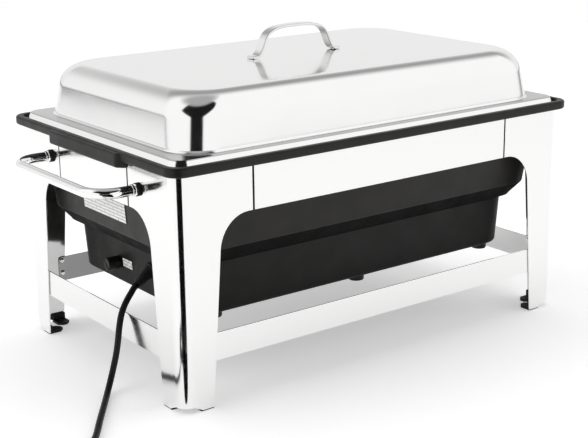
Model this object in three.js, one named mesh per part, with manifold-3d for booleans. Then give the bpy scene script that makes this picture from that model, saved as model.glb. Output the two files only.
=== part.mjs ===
// Electric buffet server (electric chafing dish) for one full-size gastronorm food pan.
// Millimetres, +Z up. The origin is on the table, under the middle of the frame; +X runs along the long side,
// the front is at -Y, and the left end at -X carries the reset button and the mains cord.
import * as THREE from "three";
import { mergeVertices } from "three/addons/utils/BufferGeometryUtils.js";
import Module from "manifold-3d";

// ---- Driving dimensions ----

const GAP = 0.3;
const TRAY_BEVEL = 6; // clearance left between pieces that touch

const pan = { length: 530, depth: 325, drop: 64, wall: 1, flange: 13, cornerRadius: 16 };
const frame = { marginX: 5, marginY: 4.5, top: 249, sheet: 1.5, bendRadius: 14 };
const leg = { topWidth: 91, kneeWidth: 50.5, archRise: 38.5, footWidth: 38, toeStart: 24, toeLift: 5 };
const apron = { height: 47.5, seam: 1.9, joggle: 1, overlap: 15 };
const rail = { bottom: 50, height: 30, overlap: 8, cornerRadius: 4 };
const footPad = { lip: 0.8, depth: 20, thickness: 3, upstand: 10, start: 22, taper: 5 };
const rim = { overhangX: 8, overhangY: 10, thickness: 10, lip: 7.5, recess: 4.5, cornerRadius: 18,
  edge: 2 };
const grip = { halfLength: 73, slope: 11, proud: 4, drop: 6.5 };
const tub = { wall: 3, topInset: 9, taperX: 6, taperY: 14, depth: 90.3, skirt: 17, skirtInset: 12,
  radius: 34 };
const housing = { insetX: 41, insetY: 36, draft: 3, wall: 2.5, height: 57.7, floorEdge: 3, radius: 32 };
const stubFoot = { radius: 9, height: 7.5, pitchX: 195, insetY: 18 };
const tank = { wall: 1, flangeInset: 1, bodyGap: 1, depth: 89.1, draftX: 11, draftY: 22, radius: 38 };
const heater = { insetX: 51, insetY: 37, thickness: 3, tubeRadius: 4, tubeInset: 18 };
const lid = {
  sheet: 1, bandRise: 7.2, bandRun: 4, bandInset: 3, flangeX: 15, flangeY: 9, kerbHeight: 2.2, kerbRun: 1.8,
  wallRise: 29.7, wallRun: 4.6, rollRadius: 26, crown: 1, baseRadius: 40, flangeRadius: 14,
};
const lidHandle = { halfSpan: 63, width: 13, thickness: 3, rise: 35, halfGrip: 45, screwInset: 5 };
const screw = { radius: 1.6, headRadius: 3.4, headHeight: 1.8, reach: 2.2 };
const sideHandle = { drop: 25.4, inset: 71.5, reach: 47.5, barRadius: 5.5, cornerRadius: 28 };
const collar = { radius: 6.4, length: 5, washerRadius: 7, washerThickness: 2.6 };
const reset = {
  y: 29, rise: 23, capRadius: 7.5, capLength: 15.5, bushRadius: 5.4, bushLength: 11, buttonRadius: 2.7,
  buttonTravel: 2, boreRadius: 3.1, slotWidth: 1.6, slotDepth: 1.4, blockSize: 24, blockDepth: 20,
};
const control = { radius: 11, neckRadius: 6, height: 14 };
const terminal = { depth: 24, halfWidth: 21, height: 16, pitch: 13, wellInset: 6, wellHalf: 4 };
const cordExit = { y: -42, rise: 31.3, flangeRadius: 9, flangeThickness: 2.5, tail: 22, neckRadius: 5.2,
  tipRadius: 4.4 };
const cordExitTilt = THREE.MathUtils.degToRad(30); // the strain relief droops by this much
const cord = { radius: 3.5, sides: 8 };
const coil = { x: -424, y: -244, innerRadius: 28.5, outerRadius: 50.5, height: 14.6 };
const plug = {
  x: -374, y: -295, heading: 0, neckRadius: 6, neckLength: 10, bodyRadius: 18, length: 44,
    pinRadius: 2.4, pinLength: 19, pinPitch: 19,
};
const labels = {
  rating: { y: 1.2, drop: 60.7, width: 91, height: 30 },
  reset: { y: 8.5, rise: 26, width: 20, height: 9.5 },
};
const labelThickness = 0.4;

const CORNER_STEPS = 6; // facets in a quarter turn of a rounded corner

// ---- Sizes worked out from the driving dimensions ----

const frameHalfX = pan.length / 2 + frame.marginX;
const frameHalfY = pan.depth / 2 + frame.marginY;
const rimHalfX = frameHalfX + rim.overhangX;
const rimHalfY = frameHalfY + rim.overhangY;
const rimBottom = frame.top + GAP;
const rimTop = rimBottom + rim.thickness;
const ledgeZ = rimTop - rim.recess;
const recessHalfX = rimHalfX - rim.lip;
const recessHalfY = rimHalfY - rim.lip;
const apronBottom = frame.top - apron.height;
const kneeHeight = apronBottom - leg.archRise;
const plateBottom = footPad.lip + GAP;
const tubTopHalfX = frameHalfX - tub.topInset;
const tubTopHalfY = frameHalfY - tub.topInset;
const housingHalfX = frameHalfX - housing.insetX;
const housingHalfY = frameHalfY - housing.insetY;
const stepZ = rimBottom - tub.depth;
const skirtZ = stepZ - tub.skirt;
const housingTop = skirtZ - GAP;
const housingFloor = housingTop - housing.height;
const resetZ = housingFloor + reset.rise;
const cordExitZ = housingFloor + cordExit.rise;
const handleZ = frame.top - sideHandle.drop;
const handleHalfSpan = frameHalfY - sideHandle.inset;
const tankFlangeZ = ledgeZ + GAP;
const tankFloor = tankFlangeZ - tank.depth;
const panFlangeZ = tankFlangeZ + tank.wall + GAP;
const lidSeatZ = tankFlangeZ + tank.wall + GAP;

// ---- Geometry helpers ----

const wasm = await Module();
wasm.setup();

function toSolid(geometry) {
  const bare = geometry.clone();
  bare.deleteAttribute("normal");
  bare.deleteAttribute("uv");
  const merged = mergeVertices(bare, 1e-4);
  const mesh = new wasm.Mesh({
    numProp: 3,
    vertProperties: new Float32Array(merged.attributes.position.array),
    triVerts: new Uint32Array(merged.index.array),
  });
  return new wasm.Manifold(mesh);
}

function toGeometry(solid) {
  const mesh = solid.getMesh();
  const geometry = new THREE.BufferGeometry();
  const position = new Float32Array(mesh.numVert * 3);
  for (let i = 0; i < mesh.numVert; i++) {
    for (let axis = 0; axis < 3; axis++) {
      position[3 * i + axis] = mesh.vertProperties[mesh.numProp * i + axis];
    }
  }
  geometry.setAttribute("position", new THREE.BufferAttribute(position, 3));
  geometry.setIndex(new THREE.BufferAttribute(new Uint32Array(mesh.triVerts), 1));
  return geometry;
}

function join(...geometries) {
  return toGeometry(geometries.map(toSolid).reduce((whole, piece) => whole.add(piece)));
}

function cut(body, ...tools) {
  return toGeometry(tools.map(toSolid).reduce((whole, tool) => whole.subtract(tool), toSolid(body)));
}

function common(...geometries) {
  return toGeometry(geometries.map(toSolid).reduce((whole, piece) => whole.intersect(piece)));
}

// A closed outline of [a, b] points pushed through a depth along +Z.
function prism(outline, depth, z = 0) {
  const shape = new THREE.Shape(outline.map(([a, b]) => new THREE.Vector2(a, b)));
  return new THREE.ExtrudeGeometry(shape, { depth, bevelEnabled: false }).translate(0, 0, z);
}

function box(x0, x1, y0, y1, z0, z1) {
  return new THREE.BoxGeometry(x1 - x0, y1 - y0, z1 - z0).translate((x0 + x1) / 2, (y0 + y1) / 2,
    (z0 + z1) / 2);
}

// A turned piece along +Z from [radius, height] points; the profile starts and ends on the axis.
function turned(profile, segments = 20) {
  const points = profile.map(([radius, height]) => new THREE.Vector2(radius, height));
  return new THREE.LatheGeometry(points, segments).rotateX(Math.PI / 2);
}

// The same turned piece, pointing along -X from a point on the left end.
function turnedLeft(profile, x, y, z, segments = 20) {
  return turned(profile, segments).rotateY(-Math.PI / 2).translate(x, y, z);
}

function roundedOutline(halfX, halfY, radius) {
  const points = [];
  [[1, 1], [-1, 1], [-1, -1], [1, -1]].forEach(([sideX, sideY], quarter) => {
    for (let i = 0; i <= CORNER_STEPS; i++) {
      const angle = (quarter + i / CORNER_STEPS) * Math.PI / 2;
      points.push([sideX * (halfX - radius) + radius * Math.cos(angle),
        sideY * (halfY - radius) + radius * Math.sin(angle)]);
    }
  });
  return points;
}

// A solid skinned over a stack of rounded rectangles, each { halfX, halfY, radius, z }, from the lowest up.
function stack(rings) {
  const position = [];
  for (const ring of rings) {
    for (const [x, y] of roundedOutline(ring.halfX, ring.halfY, ring.radius)) {
      position.push(x, y, ring.z);
    }
  }
  const count = 4 * (CORNER_STEPS + 1);
  const index = [];
  for (let level = 0; level + 1 < rings.length; level++) {
    for (let i = 0; i < count; i++) {
      const next = (i + 1) % count;
      const low = level * count;
      const high = low + count;
      index.push(low + i, low + next, high + next, low + i, high + next, high + i);
    }
  }
  const top = (rings.length - 1) * count;
  for (let i = 1; i + 1 < count; i++) {
    index.push(0, i + 1, i, top, top + i, top + i + 1);
  }
  const geometry = new THREE.BufferGeometry();
  geometry.setAttribute("position", new THREE.Float32BufferAttribute(position, 3));
  geometry.setIndex(index);
  return geometry;
}

// The mirror image across x = 0 and/or y = 0, with its faces turned back outwards.
function mirrored(geometry, signX, signY) {
  const copy = geometry.clone().scale(signX, signY, 1);
  if (signX * signY < 0) {
    const index = copy.index.array;
    for (let i = 0; i < index.length; i += 3) {
      [index[i], index[i + 1]] = [index[i + 1], index[i]];
    }
  }
  return copy;
}

function tubeAlong(points, radius, sides, steps) {
  const path = new THREE.CatmullRomCurve3(points.map((point) => new THREE.Vector3(...point)), false,
    "centripetal");
  return sweep(path, radius, sides, steps);
}

function sweep(path, radius, sides, steps) {
  const section = new THREE.Shape();
  for (let i = 0; i < sides; i++) {
    const angle = (2 * Math.PI * (i + 0.5)) / sides;
    const place = [radius * Math.cos(angle), radius * Math.sin(angle)];
    if (i === 0) section.moveTo(...place);
    else section.lineTo(...place);
  }
  section.closePath();
  return new THREE.ExtrudeGeometry(section, { steps, extrudePath: path, bevelEnabled: false });
}

// ---- Materials ----

const finish = (color, roughness, metalness) => new THREE.MeshStandardMaterial({ color, roughness,
  metalness });
const mirrorSteel = finish(0xe6e6e6, 0.06, 1);
const steelStrip = finish(0xd9d9d8, 0.12, 1);
const brushedSteel = finish(0xc4c4c2, 0.3, 1);
const blackPlastic = finish(0x1d1c1b, 0.45, 0);
const blackRubber = finish(0x101010, 0.7, 0);
const aluminium = finish(0xb9bbbd, 0.4, 1);
const labelWhite = finish(0xf1f1ef, 0.5, 0);
const phenolic = finish(0x3a2a22, 0.5, 0);
const buttonRed = finish(0xa31b17, 0.4, 0);

const server = new THREE.Group();

function add(name, geometry, material) {
  const mesh = new THREE.Mesh(geometry, material);
  mesh.name = name;
  server.add(mesh);
  return mesh;
}

// ---- Frame: four bent corner legs, four aprons and four rails of polished strip ----

// One leg plate seen square on, from its bend outwards: a toe that rises to the bend, a tapering shin,
// an arched knee and a wide head that meets the apron.
function legPlateOutline() {
  const archX = leg.topWidth - apron.seam - 3.5;
  const outline = [[frame.bendRadius, plateBottom + leg.toeLift], [leg.toeStart, plateBottom],
    [leg.footWidth, plateBottom]];
  const archSteps = 10;
  for (let i = 0; i <= archSteps; i++) {
    const angle = (i / archSteps) * (Math.PI / 2);
    outline.push([
      archX - (archX - leg.kneeWidth) * Math.cos(angle),
      kneeHeight + leg.archRise * Math.sin(angle),
    ]);
  }
  outline.push([leg.topWidth, apronBottom], [leg.topWidth, frame.top], [frame.bendRadius, frame.top]);
  return outline;
}

function cornerLeg() {
  const plate = prism(legPlateOutline(), frame.sheet).rotateX(Math.PI / 2).translate(0, frame.sheet, 0);
  const otherPlate = prism(legPlateOutline(), frame.sheet).rotateX(Math.PI / 2).rotateZ(Math.PI / 2);
  const outer = frame.bendRadius;
  const inner = outer - frame.sheet;
  const bend = [];
  const bendSteps = 6;
  for (let i = 0; i <= bendSteps; i++) {
    const angle = Math.PI + (i / bendSteps) * (Math.PI / 2);
    bend.push([outer + outer * Math.cos(angle), outer + outer * Math.sin(angle)]);
  }
  for (let i = bendSteps; i >= 0; i--) {
    const angle = Math.PI + (i / bendSteps) * (Math.PI / 2);
    bend.push([outer + inner * Math.cos(angle), outer + inner * Math.sin(angle)]);
  }
  const bendBottom = plateBottom + leg.toeLift;
  return join(plate, otherPlate, prism(bend, frame.top - bendBottom, bendBottom)).translate(-frameHalfX,
    -frameHalfY, 0);
}

const corners = { front_left: [1, 1], front_right: [-1, 1], rear_left: [1, -1], rear_right: [-1, -1] };
const frontLeftLeg = cornerLeg();
for (const [corner, [signX, signY]] of Object.entries(corners)) {
  add(`leg_${corner}`, mirrored(frontLeftLeg, signX, signY), mirrorSteel);
}

// An apron stands flush between two leg heads; its ends are joggled inwards to lie behind them.
function apronStrip(halfSpan) {
  const seamAt = halfSpan - leg.topWidth - apron.seam;
  const tabEnd = halfSpan - leg.topWidth + apron.overlap;
  const back = frame.sheet + GAP;
  const outline = [
    [-seamAt, 0], [seamAt, 0], [seamAt + apron.joggle, back], [tabEnd, back], [tabEnd, back + frame.sheet],
    [seamAt - apron.joggle / 2, back + frame.sheet], [seamAt - apron.joggle, frame.sheet],
    [-seamAt + apron.joggle, frame.sheet], [-seamAt + apron.joggle / 2, back + frame.sheet],
    [-tabEnd, back + frame.sheet], [-tabEnd, back], [-seamAt - apron.joggle, back],
  ];
  return prism(outline, apron.height, apronBottom);
}

const longApron = apronStrip(frameHalfX).translate(0, -frameHalfY, 0);
const endApron = apronStrip(frameHalfY).rotateZ(-Math.PI / 2).translate(-frameHalfX, 0, 0);
add("apron_front", longApron, mirrorSteel);
add("apron_rear", longApron.clone().rotateZ(Math.PI), mirrorSteel);
add("apron_left", endApron, mirrorSteel);
add("apron_right", endApron.clone().rotateZ(Math.PI), mirrorSteel);

// A rail is a flat strip fastened to the inner faces of two legs, with its end corners rounded.
function railStrip(halfSpan) {
  const railShare = (rail.bottom + rail.height / 2) / kneeHeight;
  const legWidth = leg.footWidth + (leg.kneeWidth - leg.footWidth) * railShare;
  const halfLength = halfSpan - legWidth + rail.overlap;
  const strip = prism(roundedOutline(halfLength, rail.height / 2, rail.cornerRadius), frame.sheet);
  return strip.rotateX(Math.PI / 2).translate(0, 2 * frame.sheet + GAP, rail.bottom + rail.height / 2);
}

const longRail = railStrip(frameHalfX).translate(0, -frameHalfY, 0);
const endRail = railStrip(frameHalfY).rotateZ(-Math.PI / 2).translate(-frameHalfX, 0, 0);
add("rail_front", longRail, steelStrip);
add("rail_rear", longRail.clone().rotateZ(Math.PI), steelStrip);
add("rail_left", endRail, steelStrip);
add("rail_right", endRail.clone().rotateZ(Math.PI), steelStrip);

// A black foot clips onto the bottom edge of each leg plate and reaches inwards under it.
function clipFoot() {
  const inside = frame.sheet + GAP;
  const side = [
    [GAP, 0], [footPad.depth, 0], [footPad.depth, footPad.thickness], [inside + 3, footPad.thickness],
    [inside + 3, footPad.upstand], [inside, footPad.upstand], [inside, footPad.lip], [GAP, footPad.lip],
  ];
  const end = leg.footWidth - GAP;
  const bar = prism(side,
    end - footPad.start).rotateX(Math.PI / 2).rotateZ(Math.PI / 2).translate(footPad.start, 0, 0);
  const plan = [
    [footPad.start, 0], [end, 0], [end, footPad.depth - footPad.taper],
      [end - footPad.taper, footPad.depth],
    [footPad.start + footPad.taper, footPad.depth], [footPad.start, footPad.depth - footPad.taper],
  ];
  return common(bar, prism(plan, footPad.upstand));
}

const frontFoot = clipFoot().translate(-frameHalfX, -frameHalfY, 0);
const endFoot = mirrored(clipFoot(), 1, -1).rotateZ(Math.PI / 2).translate(-frameHalfX, -frameHalfY, 0);
for (const [corner, [signX, signY]] of Object.entries(corners)) {
  add(`foot_pad_${corner}_long`, mirrored(frontFoot, signX, signY), blackRubber);
  add(`foot_pad_${corner}_end`, mirrored(endFoot, signX, signY), blackRubber);
}

// ---- Side handles: a U-shaped bar with a collar and a black washer at each end ----

const washerLeft = -frameHalfX - GAP;
const collarLeft = washerLeft - collar.washerThickness - GAP;
const armStart = collarLeft - collar.length - GAP;
const barX = -frameHalfX - sideHandle.reach;

function handleBar() {
  const path = new THREE.CurvePath();
  const bend = sideHandle.cornerRadius;
  const halfSpan = handleHalfSpan;
  const at = (x, y) => new THREE.Vector3(x, y, handleZ);
  path.add(new THREE.LineCurve3(at(armStart, -halfSpan), at(barX + bend, -halfSpan)));
  path.add(new THREE.QuadraticBezierCurve3(at(barX + bend, -halfSpan), at(barX, -halfSpan), at(barX,
    bend - halfSpan)));
  path.add(new THREE.LineCurve3(at(barX, bend - halfSpan), at(barX, halfSpan - bend)));
  path.add(new THREE.QuadraticBezierCurve3(at(barX, halfSpan - bend), at(barX, halfSpan), at(barX + bend,
    halfSpan)));
  path.add(new THREE.LineCurve3(at(barX + bend, halfSpan), at(armStart, halfSpan)));
  return sweep(path, sideHandle.barRadius, 10, 44);
}

const leftBar = handleBar();
for (const [side, turn] of [["left", 0], ["right", Math.PI]]) {
  add(`side_handle_${side}`, leftBar.clone().rotateZ(turn), mirrorSteel);
  for (const [place, sign] of [["front", -1], ["rear", 1]]) {
    const y = (turn ? -sign : sign) * handleHalfSpan;
    const ring = turnedLeft([[0, 0], [collar.radius, 0], [collar.radius, collar.length - 1],
      [collar.radius - 1, collar.length],
      [0, collar.length]], collarLeft, y, handleZ);
    const washer = turnedLeft([[0, 0], [collar.washerRadius, 0],
      [collar.washerRadius, collar.washerThickness],
      [0, collar.washerThickness]], washerLeft, y, handleZ);
    add(`handle_collar_${side}_${place}`, ring.rotateZ(turn), mirrorSteel);
    add(`handle_washer_${side}_${place}`, washer.rotateZ(turn), blackRubber);
  }
}

// ---- Black unit: moulded tub with its rim and end grips, and the heater housing under it ----

function tubOuter(z, inset) {
  const rise = (z - stepZ) / tub.depth;
  return {
    halfX: tubTopHalfX - tub.taperX * (1 - rise) - inset,
      halfY: tubTopHalfY - tub.taperY * (1 - rise) - inset,
    radius: tub.radius - inset, z,
  };
}

function rimRing(inset, z) {
  return { halfX: rimHalfX - inset, halfY: rimHalfY - inset, radius: rim.cornerRadius - inset, z };
}

function endGrip() {
  const { halfLength, slope, proud } = grip;
  const outline = [
    [rimHalfX - 6, -halfLength - slope], [rimHalfX, -halfLength - slope], [rimHalfX + proud, -halfLength],
    [rimHalfX + proud, halfLength], [rimHalfX, halfLength + slope], [rimHalfX - 6, halfLength + slope],
  ];
  return prism(outline, rim.thickness + grip.drop - rim.edge, rimBottom - grip.drop);
}

const step = tubOuter(stepZ, 0);
const skirt = {
  halfX: step.halfX - tub.skirtInset, halfY: step.halfY - tub.skirtInset + 1, radius: step.radius - 2,
    z: skirtZ,
};
const housingMouth = {
  halfX: housingHalfX - 9, halfY: housingHalfY - 9, radius: housing.radius - 8,
};
const tubShell = cut(
  join(
    stack([rimRing(rim.edge, rimBottom), rimRing(0, rimBottom + rim.edge), rimRing(0, rimTop - rim.edge),
      rimRing(rim.edge, rimTop)]),
    stack([skirt, step, tubOuter(rimBottom + 1, 0)]),
    endGrip(),
    endGrip().rotateZ(Math.PI),
  ),
  stack([
    { halfX: recessHalfX, halfY: recessHalfY, radius: rim.cornerRadius - 4, z: ledgeZ },
    { halfX: recessHalfX, halfY: recessHalfY, radius: rim.cornerRadius - 4, z: rimTop + 1 },
  ]),
  stack([
    { ...skirt, halfX: skirt.halfX - tub.wall, halfY: skirt.halfY - tub.wall, z: skirtZ + tub.wall },
    tubOuter(stepZ + 1, tub.wall), tubOuter(ledgeZ + 1, tub.wall),
  ]),
  stack([{ ...housingMouth, z: skirtZ - 1 }, { ...housingMouth, z: skirtZ + tub.wall + 1 }]),
);
add("tub_body", tubShell, blackPlastic);

function housingRing(z, inset) {
  const drop = (housingTop - z) / housing.height;
  return {
    halfX: housingHalfX - housing.draft * drop - inset, halfY: housingHalfY - housing.draft * drop - inset,
    radius: housing.radius - inset, z,
  };
}

const wallLeft = -housingRing(resetZ, 0).halfX; // the left end wall's face at the reset button
const cordWallLeft = -housingRing(cordExitZ, 0).halfX;
const resetHole = turnedLeft([[0, 0], [reset.bushRadius + GAP, 0], [reset.bushRadius + GAP, 12],
  [0, 12]], wallLeft + 6, reset.y, resetZ);
const cordHole = turnedLeft([[0, 0], [cordExit.neckRadius + GAP, 0], [cordExit.neckRadius + GAP, 12],
  [0, 12]],
  cordWallLeft + 6, cordExit.y, cordExitZ);
const heaterHousing = cut(
  stack([housingRing(housingFloor, housing.floorEdge), housingRing(housingFloor + housing.floorEdge, 0),
    housingRing(housingTop, 0)]),
  stack([housingRing(housingFloor + housing.wall + 1, housing.wall + 1),
    housingRing(housingTop + 1, housing.wall)]),
  resetHole,
  cordHole,
);
add("heater_housing", heaterHousing, blackPlastic);

for (const [row, signY] of [["front", -1], ["rear", 1]]) {
  for (const [place, signX] of [["left", -1], ["middle", 0], ["right", 1]]) {
    const x = signX * (housingHalfX - (frameHalfX - housing.insetX - stubFoot.pitchX));
    const y = signY * (housingHalfY - stubFoot.insetY);
    const foot = turned([[0, 0], [stubFoot.radius - 1, 0], [stubFoot.radius, 1],
      [stubFoot.radius, stubFoot.height],
      [0, stubFoot.height]], 16);
    add(`housing_foot_${row}_${place}`, foot.translate(x, y, housingFloor - GAP - stubFoot.height),
      blackPlastic);
  }
}

// ---- Water tank and food pan: drawn steel trays with a flat flange ----

function tray(flange, mouth, bottom, wall) {
  return cut(
    join(
      stack([{ ...flange, z: flange.z }, { ...flange, z: flange.z + wall }]),
      stack([{ ...bottom, halfX: bottom.halfX - TRAY_BEVEL, halfY: bottom.halfY - TRAY_BEVEL },
        { ...bottom, z: bottom.z + TRAY_BEVEL }, { ...mouth, z: flange.z + wall / 2 }]),
    ),
    stack([
      { halfX: bottom.halfX - 6, halfY: bottom.halfY - 6, radius: bottom.radius, z: bottom.z + wall },
      { halfX: bottom.halfX - wall, halfY: bottom.halfY - wall, radius: bottom.radius - wall,
        z: bottom.z + TRAY_BEVEL },
      { halfX: mouth.halfX - wall, halfY: mouth.halfY - wall, radius: mouth.radius - wall,
        z: flange.z + wall + 1 },
    ]),
  );
}

const tankMouth = { halfX: tubTopHalfX - tub.wall - tank.bodyGap,
  halfY: tubTopHalfY - tub.wall - tank.bodyGap, radius: tank.radius };
const tankFlange = {
  halfX: recessHalfX - tank.flangeInset, halfY: recessHalfY - tank.flangeInset,
    radius: rim.cornerRadius - 5, z: tankFlangeZ,
};
const tankBottom = {
  halfX: tankMouth.halfX - tank.draftX, halfY: tankMouth.halfY - tank.draftY, radius: tank.radius - 2,
    z: tankFloor,
};
add("water_tank", tray(tankFlange, tankMouth, tankBottom, tank.wall), brushedSteel);

const panFlange = { halfX: pan.length / 2, halfY: pan.depth / 2, radius: pan.cornerRadius, z: panFlangeZ };
const panMouth = { halfX: panFlange.halfX - pan.flange, halfY: panFlange.halfY - pan.flange - 2,
  radius: tank.radius - 2 };
const panBottom = {
  halfX: panMouth.halfX - 11, halfY: panMouth.halfY - 20, radius: tank.radius - 4, z: panFlangeZ - pan.drop,
};
add("food_pan", tray(panFlange, panMouth, panBottom, pan.wall), brushedSteel);

// ---- Heater, thermostat, cut-out and wiring block inside the unit ----

const plateTop = tankFloor - GAP;
const plateBottomZ = plateTop - heater.thickness;
const plateHalfX = tankBottom.halfX - heater.insetX;
const plateHalfY = tankBottom.halfY - heater.insetY;
const plateRing = { halfX: plateHalfX, halfY: plateHalfY, radius: 20 };
add("heater_plate", stack([{ ...plateRing, z: plateBottomZ }, { ...plateRing, z: plateTop }]), aluminium);

// The tubular element is bent into a hairpin under the plate, with its two ends towards the left.
function heatingElement() {
  const z = plateBottomZ - GAP - heater.tubeRadius;
  const x = plateHalfX - heater.tubeInset;
  const y = plateHalfY - heater.tubeInset;
  const bend = 16;
  const at = (a, b) => new THREE.Vector3(a, b, z);
  const path = new THREE.CurvePath();
  path.add(new THREE.LineCurve3(at(-x, -y), at(x - bend, -y)));
  path.add(new THREE.QuadraticBezierCurve3(at(x - bend, -y), at(x, -y), at(x, bend - y)));
  path.add(new THREE.LineCurve3(at(x, bend - y), at(x, y - bend)));
  path.add(new THREE.QuadraticBezierCurve3(at(x, y - bend), at(x, y), at(x - bend, y)));
  path.add(new THREE.LineCurve3(at(x - bend, y), at(-x, y)));
  return sweep(path, heater.tubeRadius, 8, 36);
}
add("heating_element", heatingElement(), brushedSteel);

const thermostatTop = plateBottomZ - GAP;
const thermostatNeck = thermostatTop - control.height / 2;
const thermostatEnd = thermostatTop - control.height;
add("thermostat", turned([
  [0, thermostatEnd], [control.neckRadius, thermostatEnd], [control.neckRadius, thermostatNeck],
  [control.radius, thermostatNeck], [control.radius, thermostatTop], [0, thermostatTop],
]).translate(-plateHalfX / 2, 0, 0), aluminium);

const blockRight = wallLeft + housing.wall + 1.5;
const half = reset.blockSize / 2;
const cutoutBody = box(blockRight, blockRight + reset.blockDepth, reset.y - half, reset.y + half,
  resetZ - half, resetZ + half);
const bush = turnedLeft([[0, 0], [reset.bushRadius, 0], [reset.bushRadius, reset.bushLength],
  [0, reset.bushLength]],
  blockRight + 1, reset.y, resetZ);
const bore = turnedLeft([[0, 0], [reset.boreRadius, 0], [reset.boreRadius, reset.bushLength + 1],
  [0, reset.bushLength + 1]],
  blockRight + 1, reset.y, resetZ);
add("thermal_cutout", cut(join(cutoutBody, bush), bore), phenolic);

const buttonBase = blockRight + 1 - GAP - reset.buttonTravel;
const buttonLength = buttonBase - (wallLeft - reset.bushLength + 4);
const buttonProfile = [[0, 0], [reset.buttonRadius, 0], [reset.buttonRadius, buttonLength],
  [0, buttonLength]];
add("reset_button", turnedLeft(buttonProfile, buttonBase, reset.y, resetZ, 16), buttonRed);

// The reset cap is a screwed cup over the button, with a coin slot across its face.
const wallLean = housing.draft * reset.capRadius / housing.height;
const capRoot = wallLeft - wallLean - GAP;
const capInside = reset.bushRadius + GAP;
const capShell = turnedLeft([[0, reset.capLength - 2.4], [capInside, reset.capLength - 2.4],
  [capInside, 0], [reset.capRadius, 0],
  [reset.capRadius, reset.capLength - 1], [reset.capRadius - 1, reset.capLength], [0, reset.capLength]],
    capRoot, reset.y, resetZ, 24);
const slotReach = reset.capRadius + 1;
const slot = box(-reset.slotDepth, 1, -slotReach, slotReach, -reset.slotWidth / 2, reset.slotWidth / 2)
  .rotateX(THREE.MathUtils.degToRad(-45)).translate(capRoot - reset.capLength, reset.y, resetZ);
add("reset_cap", cut(capShell, slot.translate(reset.slotDepth, 0, 0)), blackPlastic);

const blockX = wallLeft + 14;
const terminalFloor = housingFloor + housing.wall + 1 + GAP;
const terminalBody = box(blockX, blockX + terminal.depth, cordExit.y - terminal.halfWidth,
  cordExit.y + terminal.halfWidth, terminalFloor, terminalFloor + terminal.height);
const terminalWells = [-1, 0, 1].map((place) => {
  const wellY = cordExit.y + place * terminal.pitch;
  const wellFloor = terminalFloor + terminal.height / 2;
  return box(blockX + terminal.wellInset, blockX + terminal.depth - terminal.wellInset,
    wellY - terminal.wellHalf, wellY + terminal.wellHalf, wellFloor, terminalFloor + terminal.height + 1);
});
add("terminal_block", cut(terminalBody, ...terminalWells), phenolic);

// ---- Labels on the left end, blank ----

const wallTilt = Math.atan(tub.taperX / tub.depth);
const ratingZ = frame.top - labels.rating.drop;
const ratingX = -tubOuter(ratingZ, 0).halfX;
const rating = box(-GAP - labelThickness, -GAP, -labels.rating.width / 2, labels.rating.width / 2,
  -labels.rating.height / 2, labels.rating.height / 2).rotateY(-wallTilt).translate(ratingX,
    labels.rating.y, ratingZ);
add("rating_label", rating, labelWhite);

const resetLabelZ = housingFloor + labels.reset.rise;
const housingTilt = Math.atan(housing.draft / housing.height);
const resetLabel = box(-GAP - labelThickness, -GAP, -labels.reset.width / 2, labels.reset.width / 2,
  -labels.reset.height / 2, labels.reset.height / 2).rotateY(-housingTilt)
  .translate(-housingRing(resetLabelZ, 0).halfX, labels.reset.y, resetLabelZ);
add("reset_label", resetLabel, labelWhite);

// ---- Lid: flat flange with a turned-down band, sloping walls, a rolled shoulder and a crowned top ----

const bandHalfX = recessHalfX - lid.bandInset;
const bandHalfY = recessHalfY - lid.bandInset;
const flangeTop = lidSeatZ + lid.bandRise;

// The stack of outlines of the lid's outer skin; inset moves it inwards by a sheet's thickness.
function lidSkin(inset) {
  const flangeHalfX = bandHalfX - lid.bandRun;
  const flangeHalfY = bandHalfY - lid.bandRun;
  const wallHalfX = flangeHalfX - lid.flangeX;
  const wallHalfY = flangeHalfY - lid.flangeY;
  const ring = (halfX, halfY, radius, z) => ({ halfX: halfX - inset, halfY: halfY - inset, radius,
    z: z - inset });
  const kerbZ = flangeTop + lid.kerbHeight;
  const rings = [
    { ...ring(bandHalfX, bandHalfY, lid.flangeRadius + 3, lidSeatZ), z: lidSeatZ - (inset ? 1 : 0) },
    ring(flangeHalfX, flangeHalfY, lid.flangeRadius, flangeTop),
    ring(wallHalfX + lid.kerbRun, wallHalfY + lid.kerbRun, lid.baseRadius + lid.kerbRun, flangeTop + 0.01),
    ring(wallHalfX, wallHalfY, lid.baseRadius, kerbZ),
    ring(wallHalfX - lid.wallRun, wallHalfY - lid.wallRun, lid.baseRadius, kerbZ + lid.wallRise),
  ];
  const shoulderX = wallHalfX - lid.wallRun;
  const shoulderY = wallHalfY - lid.wallRun;
  const shoulderZ = kerbZ + lid.wallRise;
  const rollSteps = 5;
  const rollEnd = THREE.MathUtils.degToRad(80);
  for (let i = 1; i <= rollSteps; i++) {
    const angle = (rollEnd * i) / rollSteps;
    const run = lid.rollRadius * (1 - Math.cos(angle));
    rings.push(ring(shoulderX - run, shoulderY - run, lid.baseRadius,
      shoulderZ + lid.rollRadius * Math.sin(angle)));
  }
  const edge = lid.rollRadius * (1 - Math.cos(rollEnd));
  const edgeZ = shoulderZ + lid.rollRadius * Math.sin(rollEnd);
  const crownSteps = 4;
  for (let i = 1; i <= crownSteps; i++) {
    const left = 1 - (i / (crownSteps + 1));
    rings.push(ring((shoulderX - edge) * left, (shoulderY - edge) * left, lid.baseRadius * left,
      edgeZ + lid.crown * (1 - left * left)));
  }
  return { rings, top: edgeZ + lid.crown };
}

const skin = lidSkin(0);
const lidTop = skin.rings.at(-1).z;
const handleFootZ = lidTop + GAP;
const screwX = lidHandle.halfSpan - lidHandle.screwInset;
const screwEnd = handleFootZ + screw.reach;

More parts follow.
